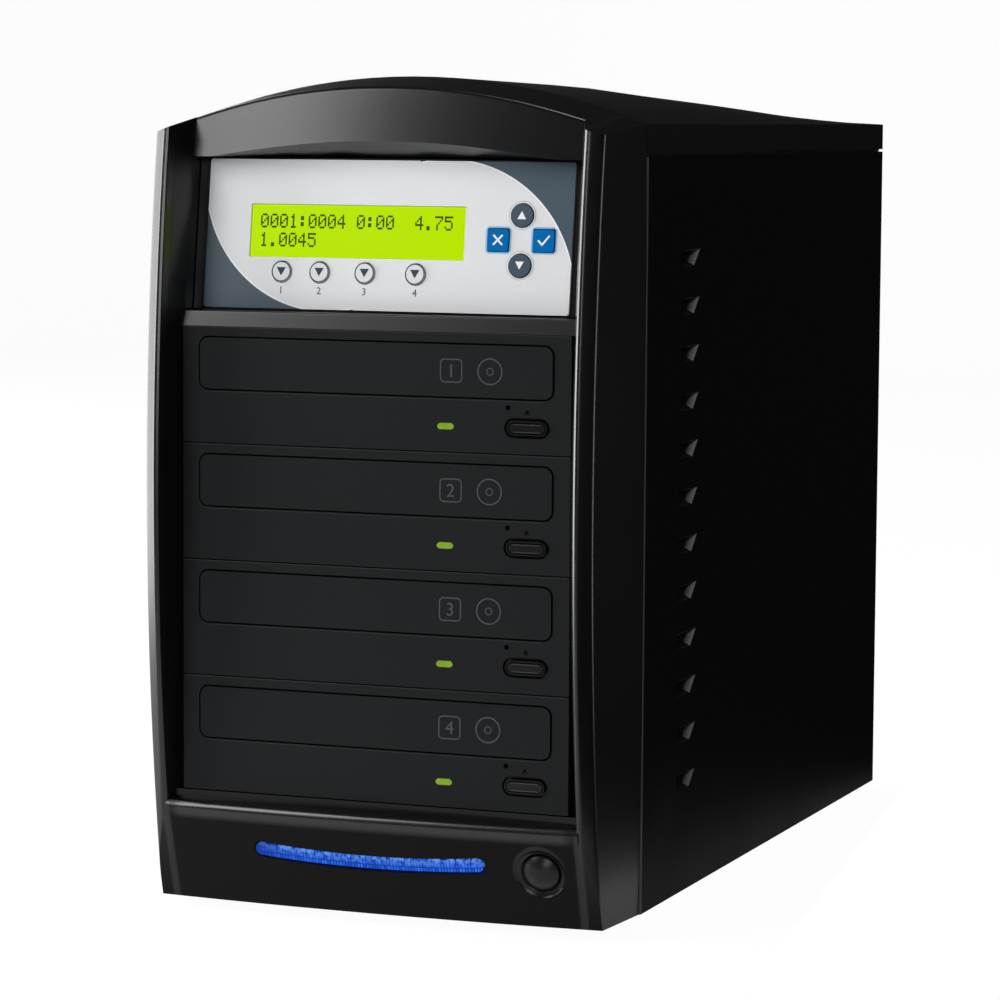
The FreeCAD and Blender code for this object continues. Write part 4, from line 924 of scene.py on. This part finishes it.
halo_radius = 4.85
for key, way in (("up_key", 1), ("down_key", -1)):
    x, y = panel_place(key)
    key_ink(key, arrow_head(x, y, wide=3.2, tall=way * 2.8), white_ink)
    film_ink(f"{key}_halo", ring(x, y, inner=4.5, outer=halo_radius), white_ink)
    film_ink(f"{key}_line", ring(x, y, inner=halo_radius, outer=5.05), grey_ink)

mark_width = 0.65
x, y = panel_place("escape_key")
key_ink("escape_key", crossed_strokes(x, y, 1.5, mark_width), white_ink)
x, y = panel_place("enter_key")
tick_foot = (x - 0.5, y - 1.5)
tick_mark = (stroke((x - 1.8, y - 0.1), tick_foot, mark_width)
             + stroke(tick_foot, (x + 2.0, y + 1.5), mark_width))
key_ink("enter_key", tick_mark, white_ink)

border_margin = 1.8
for key in ("escape_key", "enter_key"):
    x, y = panel_place(key)
    border = cap_size(key, panel_inward)[0] + border_margin
    film_ink(f"{key}_border", rounded_frame(x, y, border, border, radius=1.6, line=0.6), sky_ink)
print("marked keys", sum("key" in name for name in nodes))

# %% [markdown]
# The display is a character module: two rows of twenty cells, each cell five dots wide
# and seven high. Only plain numbers are shown. Every lit dot is a small square of its
# own, because the gaps between the dots are what makes a display look like one.

# %% Display dots
digit_rows = {
    "0": "01110 10001 10011 10101 11001 10001 01110", "1": "00100 01100 00100 00100 00100 00100 01110",
    "2": "01110 10001 00001 00010 00100 01000 11111", "3": "11111 00010 00100 00010 00001 10001 01110",
    "4": "00010 00110 01010 10010 11111 00010 00010", "5": "11111 10000 11110 00001 00001 10001 01110",
    "6": "00110 01000 10000 11110 10001 10001 01110", "7": "11111 00001 00010 00100 01000 01000 01000",
    "8": "01110 10001 10001 01110 10001 10001 01110", "9": "01110 10001 10001 01111 00001 00010 01100",
    ".": "00000 00000 00000 00000 00000 01100 01100", ":": "00000 01100 01100 00000 01100 01100 00000",
}
dot_pitch = (0.62, 0.72)
dot_fill = 0.96
cell_pitch = 3.72


def display_cells(line, left, top):
    wide, tall = (pitch * dot_fill for pitch in dot_pitch)
    shapes = []
    for place, sign in enumerate(line):
        for row, bits in enumerate(digit_rows.get(sign, "").split()):
            for column, bit in enumerate(bits):
                if bit == "1":
                    x = left + place * cell_pitch + column * dot_pitch[0]
                    y = top - row * dot_pitch[1]
                    shapes.append([(x, y), (x + wide, y), (x + wide, y - tall), (x, y - tall)])
    return shapes


display_ink = ink_finish("display_dots", (0.03, 0.045, 0.0), (0.036, 0.055, 0.0), (0.3, 0.36), specular=0.1)
text_left, upper_top, lower_top = -49.0, 7.2, 0.5
dots = (display_cells("0001:0004 0:00  4.75", text_left, upper_top)
        + display_cells("1.0045", text_left, lower_top))
panel_ink("display_dots", dots, "display_module", "case", display_ink)
print("display dots", len(dots))

# %% [markdown]
# The power button is a shallow dome in a round dish. The solid is a flat-topped cap, so a
# turned dome of the same size stands in for it and moves with the same body. The dish has
# a smooth hollow lining, a thin turned ring that follows its wall. Both are profiles swept
# round the button's own axis.

# %% Domed power button


def turned_piece(name, profile, middle, axis, steps, body, material):
    side = axis.orthogonal().normalized()
    other = axis.cross(side)
    angles = [2 * math.pi * i / steps for i in range(steps)]
    spokes = [side * math.cos(angle) + other * math.sin(angle) for angle in angles]
    mesh = bpy.data.meshes.new(name)
    built = bmesh.new()
    rings = []
    for radius, along in profile:
        centre = middle + axis * along
        points = [centre + spoke * radius for spoke in spokes] if radius else [centre]
        rings.append([built.verts.new(point) for point in points])
    for first, second in zip(rings, rings[1:]):
        for i in range(steps):
            j = (i + 1) % steps
            corners = [first[i % len(first)], first[j % len(first)],
                       second[j % len(second)], second[i % len(second)]]
            built.faces.new(list(dict.fromkeys(corners)))
    bmesh.ops.remove_doubles(built, verts=built.verts, dist=0.001 * mm)
    bmesh.ops.recalc_face_normals(built, faces=built.faces)
    for face in built.faces:
        face.smooth = True
    built.to_mesh(mesh)
    built.free()
    return add_piece(name, mesh, body, material)


power_inward = Vector(joints["power_press"]["axis"]).normalized()
power_cap = cap_points("power_button", power_inward)
cap_middle = sum(power_cap, Vector()) / len(power_cap)
cap_radius = max((point - cap_middle).length for point in power_cap)
cap_depth = max(power_inward.dot(vertex.co - cap_middle) for vertex in nodes["power_button"].data.vertices)
cap_proud = 1.6 * mm
dome_rise = 2.8 * mm
dome_shares = (0.985, 0.93, 0.84, 0.72, 0.58, 0.42, 0.24)
skirt_depth = 4.2 * mm
stem_radius = 0.35 * cap_radius
dome_profile = [
    (0, cap_depth), (stem_radius, cap_depth), (stem_radius, skirt_depth), (0.97 * cap_radius, skirt_depth),
    (cap_radius, dome_rise + 0.5 * mm),
    *((cap_radius * share, dome_rise * share ** 2) for share in dome_shares),
    (0, 0),
]
power_dome = turned_piece("power_dome", dome_profile, cap_middle, power_inward, 48, "power",
                          finishes["button_plastic"])
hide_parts("power_button")

dish_wall = [(9.45, 0.0), (9.15, 0.42), (8.75, 0.76), (8.25, 1.06), (7.7, 1.3), (7.15, 1.46)]
dish_wall = [(radius * mm, along * mm) for radius, along in dish_wall]
dish_back = [(radius, along + 0.1 * mm) for radius, along in reversed(dish_wall)]
chin_spot = cap_middle + power_inward * cap_proud
turned_piece("power_dish", dish_wall + dish_back + dish_wall[:1], chin_spot, power_inward, 64, "case",
             finishes["bezel_plastic"])
print("power dome radius mm", round(cap_radius / mm, 2))

# %% [markdown]
# Each drive face is marked: a small dark triangle over a bar shows the eject button, and
# on the tray front a plain ring stands for a disc, beside the number of the drive. The
# marks on the tray are part of its moulding, only a shade paler than the front. A fine
# dark ring of painted shade on each eject button stands for the groove round its top, and
# thin pale strokes along the long edges of the face, under the tray front and on the
# button are painted highlights for the light those edges catch.

# %% Drive face marks
# This paler moulding colour draws the tray marks, and also the painted highlights on the eject buttons.
mark_and_glint_ink = skin("moulded_mark", (0.048, 0.051, 0.055), (0.056, 0.06, 0.064), (0.45, 0.52),
                grain_depth=0.08, dust=0.0, specular=0.3)
# Near-black painted shade for the groove round each eject button and the screw recesses; it also draws the
# dark eject mark.
painted_shade_and_mark_ink = ink_finish("groove_shade", (0.0010, 0.0010, 0.0011), (0.0014, 0.0014, 0.0015), (0.6, 0.7),
                        specular=0.02)
# Painted highlight: thin pale strokes for the light caught by the long edges of the face.
painted_glint_ink = skin("edge_glint", (0.024, 0.025, 0.027), (0.03, 0.031, 0.033), (0.5, 0.58),
                grain_depth=0.05, dust=0.0, specular=0.15)
eject_mark_drop = 26.6
glint_width = 0.2
disc_x, number_x = 44.0, 29.5


def face_ink(name, shapes, front, body, material=mark_and_glint_ink):
    def lay(x, y, share):
        return Vector((x * mm, front - share * ink_thickness, y * mm))
    return ink_piece(name, shapes, lay, body, material)


def level_stroke(left, right, z, width=glint_width):
    return stroke((left, z), (right, z), width)


drive_face_layers = []
for number in range(1, 5):
    low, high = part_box(f"drive_{number}_face")
    eject_low, eject_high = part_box(f"drive_{number}_eject_button")
    eject_x = (eject_low.x + eject_high.x) / 2 / mm
    eject_z = (eject_low.z + eject_high.z) / 2 / mm
    mark_z = high.z / mm - eject_mark_drop
    eject_mark = (arrow_head(eject_x, mark_z, wide=2.0, tall=1.3)
                  + level_stroke(eject_x - 0.9, eject_x + 0.9, mark_z - 1.1, width=0.25))
    drive_face_layers.append(face_ink(f"drive_{number}_eject_mark", eject_mark, low.y, "case", painted_shade_and_mark_ink))
    wide, tall = cap_size(f"drive_{number}_eject_button", Vector((0, 1, 0)))
    # Painted shade: a dark ring on the button cap stands for the groove round it.
    painted_groove_shade = rounded_frame(eject_x, eject_z, wide - 0.9, tall - 0.9, radius=tall / 2 - 0.45, line=0.4,
                           steps=10)
    drive_face_layers.append(face_ink(f"drive_{number}_eject_groove_shade", painted_groove_shade, eject_low.y, f"eject_{number}",
                                painted_shade_and_mark_ink))
    # Painted highlights: two pale strokes along the top and bottom of the eject button.
    reach, lift = wide / 2 - 2.6, tall / 2 - 1.2
    glints = (level_stroke(eject_x - reach, eject_x + reach, eject_z + lift)
              + level_stroke(eject_x - reach, eject_x + reach, eject_z - lift))
    drive_face_layers.append(face_ink(f"drive_{number}_eject_painted_glint", glints, eject_low.y, f"eject_{number}"))
    front_low, front_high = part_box(f"drive_{number}_tray_front")
    # Painted highlights: pale strokes under the tray front and along the top edge of the face.
    glints = (level_stroke(front_low.x / mm + 3.5, front_high.x / mm - 3.5, front_low.z / mm - 0.95)
              + level_stroke(low.x / mm + 1.0, high.x / mm - 1.0, high.z / mm - 0.3))
    drive_face_layers.append(face_ink(f"drive_{number}_edge_glint", glints, low.y, "case", painted_glint_ink))
    tray_z = (front_low.z + front_high.z) / 2 / mm
    tray_mark = (ring(disc_x, tray_z, inner=4.2, outer=4.7) + ring(disc_x, tray_z, inner=1.0, outer=1.4)
                 + rounded_frame(number_x, tray_z, 8.4, 8.4, radius=1.6, line=0.45)
                 + numeral(str(number), number_x, tray_z, height=4.6))
    drive_face_layers.append(face_ink(f"tray_{number}_mark", tray_mark, front_low.y, f"tray_{number}"))
print("drive marks", len(drive_face_layers))

# %% [markdown]
# At the rear, pan-head screws with a cross recess hold the fan and the supply to the
# plate. Each head is a low turned dome, and its recess two crossed strokes of shade. The
# rocker carries the usual stroke for on and ring for off, printed on its two faces.

# %% Rear screws and rocker marks
rear_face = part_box("rear_panel")[1].y
rearward = Vector((0, 1, 0))
head_rise = 1.2 * mm
head_radius = 2.3 * mm
head_shares = ((0, 1), (1, 1), (1, 0.55), (0.8, 0.2), (0.45, 0.03), (0, 0))
head_profile = [(across * head_radius, along * head_rise) for across, along in head_shares]


def pan_screw(name, x, z):
    def lay(across, up, share):
        return Vector((across * mm, rear_face + head_rise * (0.9 + 0.13 * share), up * mm))
    head_middle = Vector((x * mm, rear_face + head_rise, z * mm))
    turned_piece(name, head_profile, head_middle, -rearward, 24, "case", finishes["steel"])
    ink_piece(f"{name}_recess", crossed_strokes(x, z, 0.9, 0.5), lay, "case", painted_shade_and_mark_ink)


def box_middle(node):
    low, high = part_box(node)
    return (low + high) / 2 / mm


fan_screw_reach = 35.75
supply_screw_inset = 2.5
fan_middle = box_middle("exhaust_fan_frame")
supply_middle = box_middle("supply_case")
supply_low, supply_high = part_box("supply_case")
supply_x = (supply_high.x - supply_low.x) / 2 / mm - supply_screw_inset
supply_z = (supply_high.z - supply_low.z) / 2 / mm - supply_screw_inset
corners = ((-1, -1), (1, -1), (1, 1), (-1, 1))
for number, (sx, sz) in enumerate(corners, 1):
    fan_x = fan_middle.x + sx * fan_screw_reach
    pan_screw(f"exhaust_screw_{number}", fan_x, fan_middle.z + sz * fan_screw_reach)
    pan_screw(f"supply_screw_{number}", supply_middle.x + sx * supply_x, supply_middle.z + sz * supply_z)


def rocker_mark(name, shapes, way):
    faces = [face for face in nodes["supply_rocker"].data.polygons
             if face.normal.y > 0.8 and way * face.normal.z > 0.03]
    middle = sum((face.center * face.area for face in faces), Vector()) / sum(face.area for face in faces)
    normal = max(faces, key=lambda face: face.area).normal.copy()
    rise = normal.cross(Vector((-1, 0, 0))).normalized()

    def lay(x, y, share):
        return middle + Vector((-x * mm, 0, 0)) + rise * y * mm + normal * share * ink_thickness
    ink_piece(name, shapes, lay, "rocker", white_ink)


rocker_mark("rocker_on_mark", stroke((0, -1.6), (0, 1.6), 0.6), 1)
rocker_mark("rocker_off_mark", ring(0, 0, inner=1.3, outer=1.9), -1)
print("rear screws", 2 * len(corners))
